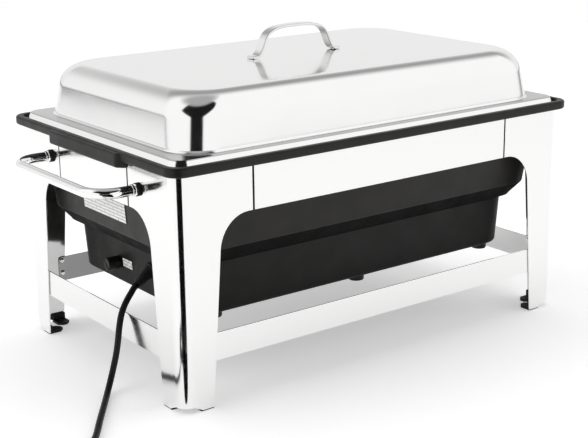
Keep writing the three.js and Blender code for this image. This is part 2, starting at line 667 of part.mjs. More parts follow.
// The clearance hole for a handle screw, through the sheet and blind in the strap's foot.
function screwHole(side) {
  const radius = screw.radius + GAP;
  const end = screwEnd + GAP;
  return turned([[0, lidTop - 20], [radius, lidTop - 20], [radius, end], [0, end]],
    14).translate(side * screwX, 0, 0);
}

const lidPads = [-1, 1].map((sign) => prism(roundedOutline(9, 8, 4), 6,
  lidTop - 6).translate(sign * screwX, 0, 0));
const lidShell = cut(
  join(stack(skin.rings), ...lidPads), stack(lidSkin(lid.sheet).rings), screwHole(-1), screwHole(1),
);
add("lid_shell", lidShell, mirrorSteel);

// The lid handle is a flat strap bent into an arch, with its feet turned outwards.
function strapHandle() {
  const { halfSpan, halfGrip, rise, thickness, width } = lidHandle;
  const mid = handleFootZ + thickness / 2;
  const side = [
    [halfSpan, mid], [halfSpan - 7, mid + 0.3], [halfGrip + 6, mid + 4], [halfGrip + 1.5, mid + 12],
    [halfGrip - 1, mid + rise * 0.55], [halfGrip - 4.5, mid + rise * 0.72],
    [halfGrip - 11, mid + rise * 0.84], [halfGrip - 20, mid + rise * 0.895],
  ];
  const points = [
    ...side.map(([x, z]) => [-x, z]), [0, mid + rise - thickness], ...side.reverse(),
  ].map(([x, z]) => new THREE.Vector3(x, 0, z));
  const path = new THREE.CatmullRomCurve3(points, false, "centripetal");
  const steps = 48;
  const outline = { upper: [], lower: [] };
  for (let i = 0; i <= steps; i++) {
    const point = path.getPoint(i / steps);
    const tangent = path.getTangent(i / steps);
    const offset = thickness / 2;
    outline.upper.push([point.x - tangent.z * offset, point.z + tangent.x * offset]);
    outline.lower.push([point.x + tangent.z * offset, point.z - tangent.x * offset]);
  }
  return prism([...outline.upper, ...outline.lower.reverse()], width).rotateX(Math.PI / 2).translate(0,
    width / 2, 0);
}
add("lid_handle", cut(strapHandle(), screwHole(-1), screwHole(1)), mirrorSteel);

// Each screw comes up from inside the lid, so that its head stays out of sight.
const headTop = lidTop - lid.sheet - 2 * GAP;
const headBottom = headTop - screw.headHeight;
for (const [side, sign] of [["left", -1], ["right", 1]]) {
  const handleScrew = turned([[0, headBottom], [screw.headRadius - 0.8, headBottom],
    [screw.headRadius, headBottom + 0.8],
    [screw.headRadius, headTop], [screw.radius, headTop], [screw.radius, screwEnd], [0, screwEnd]], 14);
  add(`lid_handle_screw_${side}`, handleScrew.translate(sign * screwX, 0, 0), steelStrip);
}

// ---- Mains cord: strain relief, the run over the left rail to the table, the coil and the plug ----

const reliefAxis = new THREE.Vector3(-Math.cos(cordExitTilt), -0.16, -Math.sin(cordExitTilt)).normalize();
const reliefLean = housing.draft * cordExit.flangeRadius / housing.height;
const reliefRoot = new THREE.Vector3(cordWallLeft - reliefLean - GAP, cordExit.y, cordExitZ);
const reliefTail = turned([[0, -2], [cordExit.neckRadius + 1.6, -2], [cordExit.neckRadius + 1, 6],
  [cordExit.tipRadius, cordExit.tail],
  [0, cordExit.tail]], 16);
reliefTail.applyQuaternion(new THREE.Quaternion().setFromUnitVectors(new THREE.Vector3(0, 0, 1),
  reliefAxis))
  .translate(reliefRoot.x, reliefRoot.y, reliefRoot.z);
const reliefFlange = turnedLeft([[0, 0], [cordExit.flangeRadius, 0],
  [cordExit.flangeRadius, cordExit.flangeThickness],
  [0, cordExit.flangeThickness]], reliefRoot.x, cordExit.y, cordExitZ);
const reliefNeck = turnedLeft([[0, 0], [cordExit.neckRadius, 0], [cordExit.neckRadius, 8], [0, 8]],
  reliefRoot.x + 7, cordExit.y, cordExitZ);
const flangeSide = box(reliefRoot.x - 60, reliefRoot.x, cordExit.y - 30, cordExit.y + 30, cordExitZ - 40,
  cordExitZ + 30);
add("strain_relief", join(common(join(reliefTail, reliefFlange), flangeSide), reliefNeck), blackRubber);

const cordStart = reliefRoot.clone().addScaledVector(reliefAxis, cordExit.tail + GAP);
const cordRoute = [
  cordStart.toArray(),
  cordStart.clone().addScaledVector(reliefAxis, 6).toArray(),
  [-256.6, -48.2, 97.9], [-261.4, -50, 93.9], [-268.8, -53.2, 86.7], [-274.3, -55.8, 78.3],
    [-278.2, -57.4, 66], [-281, -58.3, 52],
  [-284.3, -58.9, 38], [-288.6, -60, 25.5], [-294.6, -63.4, 13.8], [-302.5, -71, 6],
    [-311.5, -82.8, 3.8], [-320.4, -95.4, 3.8],
  [-342.8, -126.9, 3.8], [-366.6, -160.6, 3.8], [-379.5, -174, 3.8], [-395, -182, 3.8], [-411, -187.2, 3.8],
];
add("mains_cord", tubeAlong(cordRoute, cord.radius, cord.sides, 44), blackRubber);

const coilInner = coil.innerRadius - cord.radius;
const coilOuter = coil.outerRadius + cord.radius;
const coilRing = turned([[coilInner, 0], [coilOuter, 0], [coilOuter, coil.height],
  [coilInner, coil.height], [coilInner, 0]], 32);
add("cord_coil", coilRing.translate(coil.x, coil.y, 0), blackRubber);

// A moulded two-pin plug with side earth contacts lies on its side beside the coil.
const plugParts = [
  turned([[0, 0], [plug.neckRadius, 0], [plug.neckRadius + 1.5, plug.neckLength], [0, plug.neckLength]],
    20),
  turned([[0, plug.neckLength - 1], [plug.neckRadius + 1.5, plug.neckLength - 1],
    [plug.bodyRadius - 1, plug.neckLength + 14],
    [plug.bodyRadius, plug.neckLength + 18], [plug.bodyRadius, plug.length], [0, plug.length]], 24),
  ...[-1, 1].map((sign) => turned([[0, plug.length - 1], [plug.pinRadius, plug.length - 1],
    [plug.pinRadius, plug.length + plug.pinLength - 1], [plug.pinRadius - 1, plug.length + plug.pinLength],
    [0, plug.length + plug.pinLength]], 12).translate(0, sign * plug.pinPitch / 2, 0)),
];
const plugSolid = join(...plugParts).rotateY(Math.PI / 2).rotateZ(plug.heading).translate(plug.x, plug.y,
  plug.bodyRadius);
add("plug", plugSolid, blackRubber);

const tailRoute = [[-395, -294.7, 12.4], [-389, -294.9, 14.8], [-381, -295, 17.4],
  [plug.x - GAP, plug.y, plug.bodyRadius]];
add("cord_tail", tubeAlong(tailRoute, cord.radius, cord.sides, 4), blackRubber);

export default server;
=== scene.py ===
"""Looks of an electric buffet server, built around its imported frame.

Every sub-assembly is a class: its fields are the sizes of the real thing in metres, and its methods model
the pieces and dress them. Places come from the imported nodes, so that each piece sits where the frame says.
"""
import logging
import math
from dataclasses import dataclass
from enum import Enum
from typing import Iterable, Optional, Sequence

import bpy
from mathutils import Matrix, Vector
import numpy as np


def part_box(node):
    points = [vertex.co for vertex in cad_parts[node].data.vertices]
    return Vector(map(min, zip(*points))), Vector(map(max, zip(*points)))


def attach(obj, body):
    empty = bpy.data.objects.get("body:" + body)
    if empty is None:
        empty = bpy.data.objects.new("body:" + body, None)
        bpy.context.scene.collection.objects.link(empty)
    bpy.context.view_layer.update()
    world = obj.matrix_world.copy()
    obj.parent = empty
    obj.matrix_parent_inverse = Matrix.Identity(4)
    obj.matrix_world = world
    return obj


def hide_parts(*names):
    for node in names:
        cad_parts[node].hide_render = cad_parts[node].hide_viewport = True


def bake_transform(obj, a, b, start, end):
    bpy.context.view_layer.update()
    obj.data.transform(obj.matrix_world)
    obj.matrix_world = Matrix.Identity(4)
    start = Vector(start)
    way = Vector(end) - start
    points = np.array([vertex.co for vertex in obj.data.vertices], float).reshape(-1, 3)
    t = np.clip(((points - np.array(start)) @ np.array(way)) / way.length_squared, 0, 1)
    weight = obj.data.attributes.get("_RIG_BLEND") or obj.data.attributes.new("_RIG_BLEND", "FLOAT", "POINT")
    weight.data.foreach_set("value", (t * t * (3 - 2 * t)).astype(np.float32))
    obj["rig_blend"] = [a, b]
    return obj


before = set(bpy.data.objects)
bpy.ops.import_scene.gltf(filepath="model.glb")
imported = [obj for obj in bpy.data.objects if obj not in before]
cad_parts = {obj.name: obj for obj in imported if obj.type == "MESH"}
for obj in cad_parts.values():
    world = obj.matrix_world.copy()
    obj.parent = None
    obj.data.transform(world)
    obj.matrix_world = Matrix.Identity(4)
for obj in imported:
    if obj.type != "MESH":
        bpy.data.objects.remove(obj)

log = logging.getLogger("buffet_server")
MM = 0.001
LEVEL_STEP = 0.03 * MM  # the least rise between two outlines, so that a flat skin between them can't twist
MERGE = 0.001 * MM
LINE_STEPS = 5
CORNERS = ("front_left", "front_right", "rear_left", "rear_right")
SIDES = ("front", "rear", "left", "right")
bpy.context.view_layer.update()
Object = bpy.types.Object
Material = bpy.types.Material
Point = Sequence[float]


class Body(Enum):
    """The moving bodies that a piece can ride on."""

    FRAME = "root"
    UNIT = "unit"
    PAN = "food_pan_body"
    LID = "lid_body"
    CAP = "reset_cap_body"
    BUTTON = "reset_button_body"


class Grain(Enum):
    """The way in which a metal's polishing lines run, as the stretch of their pattern along X, Y and Z."""

    ALONG_X = (1.0, 30.0, 30.0)
    ALONG_Y = (30.0, 1.0, 30.0)
    ALONG_Z = (30.0, 30.0, 1.0)


# ---- Finishes ----


class Nodes:
    """A material's node tree, with short ways to add and join nodes."""

    def __init__(self, name: str) -> None:
        """Starts a material with a Principled shader.

        Args:
            name: the material's name.
        """
        self.material = bpy.data.materials.new(name)
        self.material.use_nodes = True
        self.tree = self.material.node_tree
        self.shader = self.tree.nodes["Principled BSDF"]

    def add(self, kind: str, **values: object) -> bpy.types.Node:
        """Adds one node.

        Args:
            kind: the node's type, without its ShaderNode prefix.
            values: properties to set on the node.

        Returns:
            The new node.
        """
        node = self.tree.nodes.new("ShaderNode" + kind)
        for key, value in values.items():
            setattr(node, key, value)
        return node

    def join(self, start: bpy.types.NodeSocket, end: bpy.types.NodeSocket) -> None:
        """Links an output to an input."""
        self.tree.links.new(start, end)

    def place(self, scale: Point = (1, 1, 1)) -> bpy.types.NodeSocket:
        """Gives the object's own coordinates, stretched.

        Args:
            scale: the stretch along each axis.

        Returns:
            The socket that holds the coordinates.
        """
        coordinates = self.add("TexCoord")
        mapping = self.add("Mapping")
        mapping.inputs["Scale"].default_value = scale
        self.join(coordinates.outputs["Object"], mapping.inputs["Vector"])
        return mapping.outputs["Vector"]

    def noise(self, scale: float, stretch: Point = (1, 1, 1), detail: float = 3.0) -> bpy.types.NodeSocket:
        """Adds a noise pattern.

        Args:
            scale: how many patches there are to a metre.
            stretch: the pattern's stretch along each axis.
            detail: how many finer layers it has.

        Returns:
            The socket that holds the pattern.
        """
        texture = self.add("TexNoise")
        texture.inputs["Scale"].default_value = scale
        texture.inputs["Detail"].default_value = detail
        self.join(self.place(stretch), texture.inputs["Vector"])
        return texture.outputs["Fac"]

    def span(self, source: bpy.types.NodeSocket, low: float, high: float) -> bpy.types.NodeSocket:
        """Maps a pattern's middle range to a range of values.

        Args:
            source: the pattern.
            low: the value where the pattern is low.
            high: the value where it is high.

        Returns:
            The socket that holds the mapped values.
        """
        mapped = self.add("MapRange")
        mapped.inputs["From Min"].default_value = 0.3
        mapped.inputs["From Max"].default_value = 0.7
        mapped.inputs["To Min"].default_value = low
        mapped.inputs["To Max"].default_value = high
        self.join(source, mapped.inputs["Value"])
        return mapped.outputs["Result"]

    def bump(self, source: bpy.types.NodeSocket, depth: float,
             under: Optional[bpy.types.Node] = None) -> bpy.types.Node:
        """Turns a pattern into fine relief.

        Args:
            source: the pattern.
            depth: the relief's depth in metres.
            under: a bump node that this one lies on.

        Returns:
            The bump node.
        """
        node = self.add("Bump")
        node.inputs["Strength"].default_value = 1.0
        node.inputs["Distance"].default_value = depth
        self.join(source, node.inputs["Height"])
        if under is not None:
            self.join(under.outputs["Normal"], node.inputs["Normal"])
        return node

    def set(self, **values: object) -> None:
        """Sets constants on the shader's own sockets, by name with spaces as underscores."""
        for key, value in values.items():
            self.shader.inputs[key.replace("_", " ")].default_value = value

    def relief(self, node: bpy.types.Node) -> None:
        """Gives the shader its relief."""
        self.join(node.outputs["Normal"], self.shader.inputs["Normal"])


@dataclass(frozen=True)
class SteelFinish:
    """Stainless steel: a polish, its fine lines, faint waves in the sheet and the haze of handling."""

    name: str
    colour: Point = (0.93, 0.93, 0.925)
    smooth: float = 0.05
    hazy: float = 0.1
    grain: Grain = Grain.ALONG_X
    lines: float = 0.5e-6
    waves: float = 0.0

    def make(self) -> Material:
        """Builds the material.

        Returns:
            The new material.
        """
        nodes = Nodes(self.name)
        nodes.set(Base_Color=(*self.colour, 1.0), Metallic=1.0)
        haze = nodes.span(nodes.noise(14.0, detail=5.0), self.smooth, self.hazy)
        nodes.join(haze, nodes.shader.inputs["Roughness"])
        relief = nodes.bump(nodes.noise(90.0, self.grain.value, 4.0), self.lines)
        if self.waves:
            relief = nodes.bump(nodes.noise(7.0, detail=1.0), self.waves, relief)
        nodes.relief(relief)
        return nodes.material


@dataclass(frozen=True)
class MouldedFinish:
    """A moulded plastic or rubber: its colour with faint cloudiness, its sheen and a fine surface texture."""

    name: str
    colour: Point
    smooth: float = 0.35
    hazy: float = 0.5
    texture: float = 25e-6
    texture_scale: float = 1500.0
    shine: float = 0.5

    def make(self) -> Material:
        """Builds the material.

        Returns:
            The new material.
        """
        nodes = Nodes(self.name)
        nodes.set(Specular_IOR_Level=self.shine)
        cloud = nodes.add("Mix", data_type="RGBA")
        cloud.inputs["A"].default_value = (*self.colour, 1.0)
        cloud.inputs["B"].default_value = (*(1.35 * part + 0.002 for part in self.colour), 1.0)
        nodes.join(nodes.span(nodes.noise(30.0), 0.0, 1.0), cloud.inputs["Factor"])
        nodes.join(cloud.outputs["Result"], nodes.shader.inputs["Base Color"])
        nodes.join(nodes.span(nodes.noise(55.0), self.smooth, self.hazy), nodes.shader.inputs["Roughness"])
        nodes.relief(nodes.bump(nodes.noise(self.texture_scale, detail=2.0), self.texture))
        return nodes.material


@dataclass(frozen=True)
class LabelFinish:
    """A white film label with faint blank ruling, which holds no writing."""

    name: str
    row_height: float
    column_width: float
    ruled: float = 0.75

    def make(self) -> Material:
        """Builds the material.

        Returns:
            The new material.
        """
        nodes = Nodes(self.name)
        nodes.set(Roughness=0.4)
        bricks = nodes.add("TexBrick", offset=0.5, offset_frequency=2)
        bricks.inputs["Color1"].default_value = (0.9, 0.9, 0.88, 1.0)
        bricks.inputs["Color2"].default_value = (0.86, 0.86, 0.85, 1.0)
        bricks.inputs["Mortar"].default_value = (self.ruled, self.ruled, self.ruled, 1.0)
        bricks.inputs["Scale"].default_value = 1.0
        bricks.inputs["Mortar Size"].default_value = 0.0006
        bricks.inputs["Brick Width"].default_value = self.column_width
        bricks.inputs["Row Height"].default_value = self.row_height
        coordinates = nodes.add("TexCoord")
        parts = nodes.add("SeparateXYZ")
        flat = nodes.add("CombineXYZ")
        nodes.join(coordinates.outputs["Object"], parts.inputs["Vector"])
        nodes.join(parts.outputs["Y"], flat.inputs["X"])
        nodes.join(parts.outputs["Z"], flat.inputs["Y"])
        nodes.join(flat.outputs["Vector"], bricks.inputs["Vector"])
        nodes.join(bricks.outputs["Color"], nodes.shader.inputs["Base Color"])
        nodes.relief(nodes.bump(nodes.noise(400.0), 8e-6))
        return nodes.material


class Finishes:
    """Every material of the object, each made once."""

    def __init__(self) -> None:
        """Makes the materials."""
        steel = SteelFinish
        bright = {"colour": (0.88, 0.88, 0.875), "smooth": 0.09, "hazy": 0.15, "waves": 9e-5}
        satin = {"lines": 1.2e-6, "waves": 6e-5}
        pale, shaded = (0.86, 0.86, 0.855), (0.42, 0.42, 0.42)
        self.sheet = steel("polished_sheet", grain=Grain.ALONG_Z, **bright).make()
        self.apron = steel("polished_apron", grain=Grain.ALONG_X, **bright).make()
        self.strip = steel("satin_strip", pale, 0.12, 0.2, Grain.ALONG_X, **satin).make()
        # The rear rail's steel is darker than the other strips: painted shade, for the dark tub underside
        # that it reflects.
        self.rear_strip = steel("satin_rear_strip_painted_shade", shaded, 0.2, 0.3, Grain.ALONG_X, **satin).make()
        self.end_strip = steel("satin_end_strip", pale, 0.12, 0.2, Grain.ALONG_Y, **satin).make()
        self.lid = steel("polished_lid", (0.9, 0.9, 0.895), 0.09, 0.15, Grain.ALONG_X, 0.9e-6, 1.2e-4).make()
        self.bar = steel("polished_bar", smooth=0.04, hazy=0.1, lines=0.3e-6).make()
        self.strap = steel("polished_strap", (0.8, 0.8, 0.795), 0.05, 0.1, Grain.ALONG_X, 0.6e-6).make()
        self.flange = steel("satin_flange", (0.5, 0.5, 0.5), 0.15, 0.25, Grain.ALONG_X, 1e-6).make()
        # Near-black steel for the aprons' stepped ends: painted shade in the seams behind the legs.
        self.seam = steel("shaded_seam", (0.05, 0.05, 0.05), 0.4, 0.6, Grain.ALONG_X, 1e-6).make()
        self.tray = steel("drawn_tray", (0.8, 0.8, 0.79), 0.18, 0.3, Grain.ALONG_X, 2e-6, 8e-5).make()
        self.aluminium = steel("plain_aluminium", (0.75, 0.76, 0.77), 0.35, 0.5, Grain.ALONG_X, 3e-6).make()
        moulded = MouldedFinish
        self.black = moulded("moulded_black", (0.0085, 0.0075, 0.0065), 0.34, 0.46, shine=0.26).make()
        # A darker, less shiny black for the tub's lower skirt: painted shade under the step, where the lit
        # floor would brighten it.
        self.matt_black_painted_shade = moulded("matt_black_painted_shade", (0.002, 0.002, 0.002), 0.55, 0.7, shine=0.08).make()
        # The heater housing's black is darker than the tub's: painted shade under the tub's overhang.
        self.housing_black_painted_shade = moulded("housing_black_painted_shade", (0.0045, 0.004, 0.0035), 0.4, 0.52, shine=0.2).make()
        self.rubber = moulded("black_rubber", (0.007, 0.007, 0.007), 0.5, 0.7, 30e-6, 1200.0, 0.25).make()
        self.sheath = moulded("cord_sheath", (0.004, 0.004, 0.0042), 0.42, 0.55, 15e-6, 700.0, 0.25).make()
        self.brown = moulded("brown_phenolic", (0.07, 0.035, 0.022), 0.35, 0.5, 18e-6).make()
        self.red = moulded("red_button", (0.5, 0.025, 0.015), 0.2, 0.3, 5e-6).make()
        self.rating = LabelFinish("rating_print", row_height=3.6 * MM, column_width=19 * MM, ruled=0.5).make()
        self.notice = LabelFinish("notice_print", row_height=4.0 * MM, column_width=9 * MM, ruled=0.45).make()


# ---- Tools of the bench ----


@dataclass(frozen=True)
class Ring:
    """A rounded rectangle lying flat, one level of a loft.

    half_x and half_y are its half sides, radius is its corners' and z its height.
    """

    half_x: float
    half_y: float
    radius: float
    z: float

    def inset(self, inwards: float, rise: float = 0.0) -> "Ring":
        """Gives the ring that lies further in and higher by the given distances."""
        radius = max(self.radius - inwards, 0.6 * MM)
        return Ring(self.half_x - inwards, self.half_y - inwards, radius, self.z + rise)


def release() -> None:
    """Leaves edit mode and deselects every object."""
    if bpy.context.object is not None and bpy.context.object.mode != "OBJECT":
        bpy.ops.object.mode_set(mode="OBJECT")
    bpy.ops.object.select_all(action="DESELECT")


def blank(name: str) -> Object:
    """Starts an empty mesh at the origin and opens it for editing.

    Args:
        name: the piece's name.

    Returns:
        The new object, in edit mode.
    """
    release()
    bpy.ops.object.add(type="MESH", location=(0, 0, 0))
    piece = bpy.context.object
    piece.name = name
    bpy.ops.object.mode_set(mode="EDIT")
    bpy.ops.mesh.select_mode(type="VERT")
    return piece


def modify(piece: Object, kind: str, **settings: object) -> None:
    """Adds a modifier and applies it.

    Args:
        piece: the object.
        kind: the modifier's type.
        settings: values to set on the modifier.
    """
    release()
    piece.select_set(True)
    bpy.context.view_layer.objects.active = piece
    bpy.ops.object.modifier_add(type=kind)
    modifier = piece.modifiers[-1]
    for key, value in settings.items():
        setattr(modifier, key, value)
    bpy.ops.object.modifier_apply(modifier=modifier.name)


def smooth(piece: Object, degrees: float = 35.0) -> None:
    """Smooths a piece's shading up to an angle, and lets its large faces stay flat."""
    release()
    piece.select_set(True)
    bpy.context.view_layer.objects.active = piece
    bpy.ops.object.shade_smooth_by_angle(angle=math.radians(degrees))
    modify(piece, "WEIGHTED_NORMAL", mode="FACE_AREA", keep_sharp=True)


def loft(name: str, rings: Sequence[Ring], closed: bool = False, low: bool = False, high: bool = False,
         steps: int = 12) -> Object:
    """Skins a stack of rounded rectangles.

    Args:
        name: the piece's name.
        rings: the levels, in order.
        closed: whether the last level joins the first.
        low: whether the first level is filled.
        high: whether the last level is filled.
        steps: facets in each corner.

    Returns:
        The lofted object.
    """
    piece = blank(name)
    before = None
    for ring in rings:
        height = ring.z
        if before is not None and abs(height - before) < LEVEL_STEP:
            height = before + LEVEL_STEP
        before = height
        bpy.ops.mesh.select_all(action="DESELECT")
        bpy.ops.mesh.primitive_plane_add(size=2, location=(0, 0, height))
        bpy.ops.transform.resize(value=(ring.half_x, ring.half_y, 1), center_override=(0, 0, height))
        bpy.ops.mesh.bevel(offset=ring.radius, segments=steps, affect="VERTICES")
        bpy.ops.object.vertex_group_assign_new()
        bpy.ops.mesh.delete(type="ONLY_FACE")
    pairs = [(level, level + 1) for level in range(len(rings) - 1)]
    if closed:
        pairs.append((len(rings) - 1, 0))
    for pair in pairs:
        select_groups(piece, pair)
        bpy.ops.mesh.bridge_edge_loops()
    for wanted, level in ((low, 0), (high, len(rings) - 1)):
        if wanted:
            select_groups(piece, (level,))
            bpy.ops.mesh.edge_face_add()
    bpy.ops.mesh.select_all(action="SELECT")
    bpy.ops.mesh.normals_make_consistent(inside=False)
    release()
    piece.vertex_groups.clear()
    return piece


def select_groups(piece: Object, levels: Iterable[int]) -> None:
    """Selects the vertices of the given levels of a loft."""
    bpy.ops.mesh.select_all(action="DESELECT")
    for level in levels:
        piece.vertex_groups.active_index = level
        bpy.ops.object.vertex_group_select()


def turned(name: str, profile: Sequence[Point], sides: int = 32, seal: bool = True) -> Object:
    """Turns a piece about the Z axis.

    Args:
        name: the piece's name.
        profile: pairs of radius and height, in order.
        sides: facets round the piece.
        seal: whether both ends are filled.

    Returns:
        The turned object.
    """
    piece = blank(name)
    for radius, height in profile:
        bpy.ops.mesh.select_all(action="DESELECT")
        bpy.ops.mesh.primitive_circle_add(vertices=sides, radius=radius, location=(0, 0, height))
        bpy.ops.object.vertex_group_assign_new()
    for level in range(len(profile) - 1):
        select_groups(piece, (level, level + 1))
        bpy.ops.mesh.bridge_edge_loops()
    if seal:
        for level in (0, len(profile) - 1):
            select_groups(piece, (level,))
            bpy.ops.mesh.edge_face_add()
    bpy.ops.mesh.select_all(action="SELECT")
    bpy.ops.mesh.normals_make_consistent(inside=False)
    release()
    piece.vertex_groups.clear()
    return piece


def placed(piece: Object, position: Point, direction: Point = (0, 0, 1)) -> Object:
    """Stands a turned piece on a point, along a direction, and keeps its object at the origin.

    Args:
        piece: a piece that was made about the Z axis.
        position: where the piece's origin goes.
        direction: where the piece's Z axis goes.

    Returns:
        The same piece.
    """
    turn = Vector((0, 0, 1)).rotation_difference(Vector(direction)).to_matrix().to_4x4()
    piece.data.transform(Matrix.Translation(position) @ turn)
    return piece


def joined(pieces: Sequence[Object], name: str) -> Object:
    """Joins pieces into the first of them.

    Args:
        pieces: the objects to join.
        name: the joined piece's name.

    Returns:
        The joined object.
    """
    release()
    for piece in pieces:
        piece.select_set(True)
    bpy.context.view_layer.objects.active = pieces[0]
    bpy.ops.object.join()
    pieces[0].name = name
    return pieces[0]


def combine(piece: Object, other: Object, operation: str) -> None:
    """Cuts or adds another piece with an exact boolean, and removes it."""
    modify(piece, "BOOLEAN", object=other, operation=operation, solver="EXACT")
    bpy.data.objects.remove(other, do_unlink=True)


def refined(node: str, edge: float, name: Optional[str] = None, angle: float = 35.0) -> Object:
    """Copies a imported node, cleans the copy and rounds its edges.

    Args:
        node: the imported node.
        edge: the radius of its edges.
        name: the piece's name, or none for the node's with an ending.
        angle: edges sharper than this angle are rounded.

    Returns:
        The refined copy.
    """
    release()
    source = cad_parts[node]
    piece = source.copy()
    piece.data = source.data.copy()
    piece.name = name or node + "_fine"
    bpy.context.collection.objects.link(piece)
    piece.select_set(True)
    bpy.context.view_layer.objects.active = piece
    bpy.ops.object.mode_set(mode="EDIT")
    bpy.ops.mesh.select_all(action="SELECT")
    bpy.ops.mesh.remove_doubles(threshold=2e-6)
    bpy.ops.mesh.customdata_custom_splitnormals_clear()
    bpy.ops.mesh.dissolve_limited(angle_limit=math.radians(0.5))
    release()
    modify(piece, "BEVEL", width=edge, segments=3, limit_method="ANGLE", angle_limit=math.radians(angle),
           harden_normals=False, use_clamp_overlap=True)
    smooth(piece)
    return piece


def dress(piece: Object, finish: Material, body: Optional[Body], slot: str, *nodes: str) -> Object:
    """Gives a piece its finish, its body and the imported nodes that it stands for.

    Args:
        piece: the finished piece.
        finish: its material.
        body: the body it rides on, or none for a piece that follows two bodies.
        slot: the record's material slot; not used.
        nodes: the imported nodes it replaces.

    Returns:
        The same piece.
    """
    release()
    piece.data.materials.clear()
    piece.data.materials.append(finish)
    if body is not None:
        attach(piece, body.value)
    if nodes:
        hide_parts(*nodes)
    log.info("%s: %d faces", piece.name, len(piece.data.polygons))
    return piece


def copied(piece: Object, name: str, change: Matrix) -> Object:
    """Copies a finished piece with a mesh of its own.

    Args:
        piece: the model of the repeated piece.
        name: the copy's name.
        change: the move or mirror from the model to the copy.

    Returns:
        The copy.
    """
    copy = piece.copy()
    copy.data = piece.data.copy()
    copy.name = name
    bpy.context.collection.objects.link(copy)
    copy.data.transform(change)
    if change.determinant() < 0:
        copy.data.flip_normals()
    return copy


def corners(node: str) -> tuple[Vector, Vector]:
    """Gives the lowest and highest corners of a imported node."""
    low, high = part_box(node)
    return Vector(low), Vector(high)


def centre(node: str) -> Vector:
    """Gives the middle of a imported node's box."""
    low, high = corners(node)
    return (low + high) / 2


def in_metres(outline: Sequence[Point]) -> list[Point]:
    """Turns an outline's pairs of radius and height from millimetres into metres."""
    return [(radius * MM, height * MM) for radius, height in outline]


def quarter(steps: int, first: int = 0) -> list[tuple[float, float]]:
    """Lists sines and cosines of even steps through a quarter turn, from the given step on."""
    angles = [math.pi / 2 * step / steps for step in range(first, steps + 1)]
    return [(math.sin(angle), math.cos(angle)) for angle in angles]


def spline_point(before: Vector, start: Vector, end: Vector, after: Vector, share: float) -> Vector:
    """Gives a point on a centripetal curve between two knots.

    Args:
        before: the knot before the stretch.
        start: the stretch's first knot.
        end: its last knot.
        after: the knot after the stretch.
        share: how far along the stretch, from 0 to 1.

    Returns:
        The point.
    """
    t0 = 0.0
    t1 = t0 + math.sqrt((start - before).length)
    t2 = t1 + math.sqrt((end - start).length)
    t3 = t2 + math.sqrt((after - end).length)
    t = t1 + share * (t2 - t1)
    first = before.lerp(start, (t - t0) / (t1 - t0))
    second = start.lerp(end, (t - t1) / (t2 - t1))
    third = end.lerp(after, (t - t2) / (t3 - t2))
    early = first.lerp(second, (t - t0) / (t2 - t0))
    late = second.lerp(third, (t - t1) / (t3 - t1))
    return early.lerp(late, (t - t1) / (t2 - t1))


def smooth_line(knots: Sequence[Vector], spacing: Optional[float] = None) -> list[Vector]:
    """Runs a smooth line through knots.

    Args:
        knots: the points it passes through.
        spacing: the distance between its points, or none for the same few in every stretch.

    Returns:
        The line's points.
    """
    ends = [2 * knots[0] - knots[1], *knots, 2 * knots[-1] - knots[-2]]
    line = []
    for before, start, end, after in zip(ends, ends[1:], ends[2:], ends[3:]):
        steps = max(1, round((end - start).length / spacing)) if spacing else LINE_STEPS
        line += [spline_point(before, start, end, after, step / steps) for step in range(steps)]
    return line + [knots[-1]]


def drawn_line(name: str, points: Sequence[Vector], radius: float = 0.0) -> Object:
    """Draws a line through points and makes it a mesh, which is a tube where it has a radius.

    Args:
        name: the piece's name.
        points: the points that it follows.
        radius: the tube's radius, or 0 for a bare line.

    Returns:
        The mesh, selected and active.
    """
    release()
    data = bpy.data.curves.new(name, "CURVE")
    data.dimensions = "3D"
    line = data.splines.new("POLY")
    line.points.add(len(points) - 1)
    for place, point in zip(line.points, points):
        place.co = (*point, 1.0)
    data.bevel_depth = radius
    data.bevel_resolution = 4
    data.use_fill_caps = True
    curve = bpy.data.objects.new(name, data)
    bpy.context.collection.objects.link(curve)
    curve.select_set(True)
    bpy.context.view_layer.objects.active = curve
    bpy.ops.object.convert(target="MESH")
    piece = bpy.context.object
    piece.name = name
    return piece


# ---- Studio ----


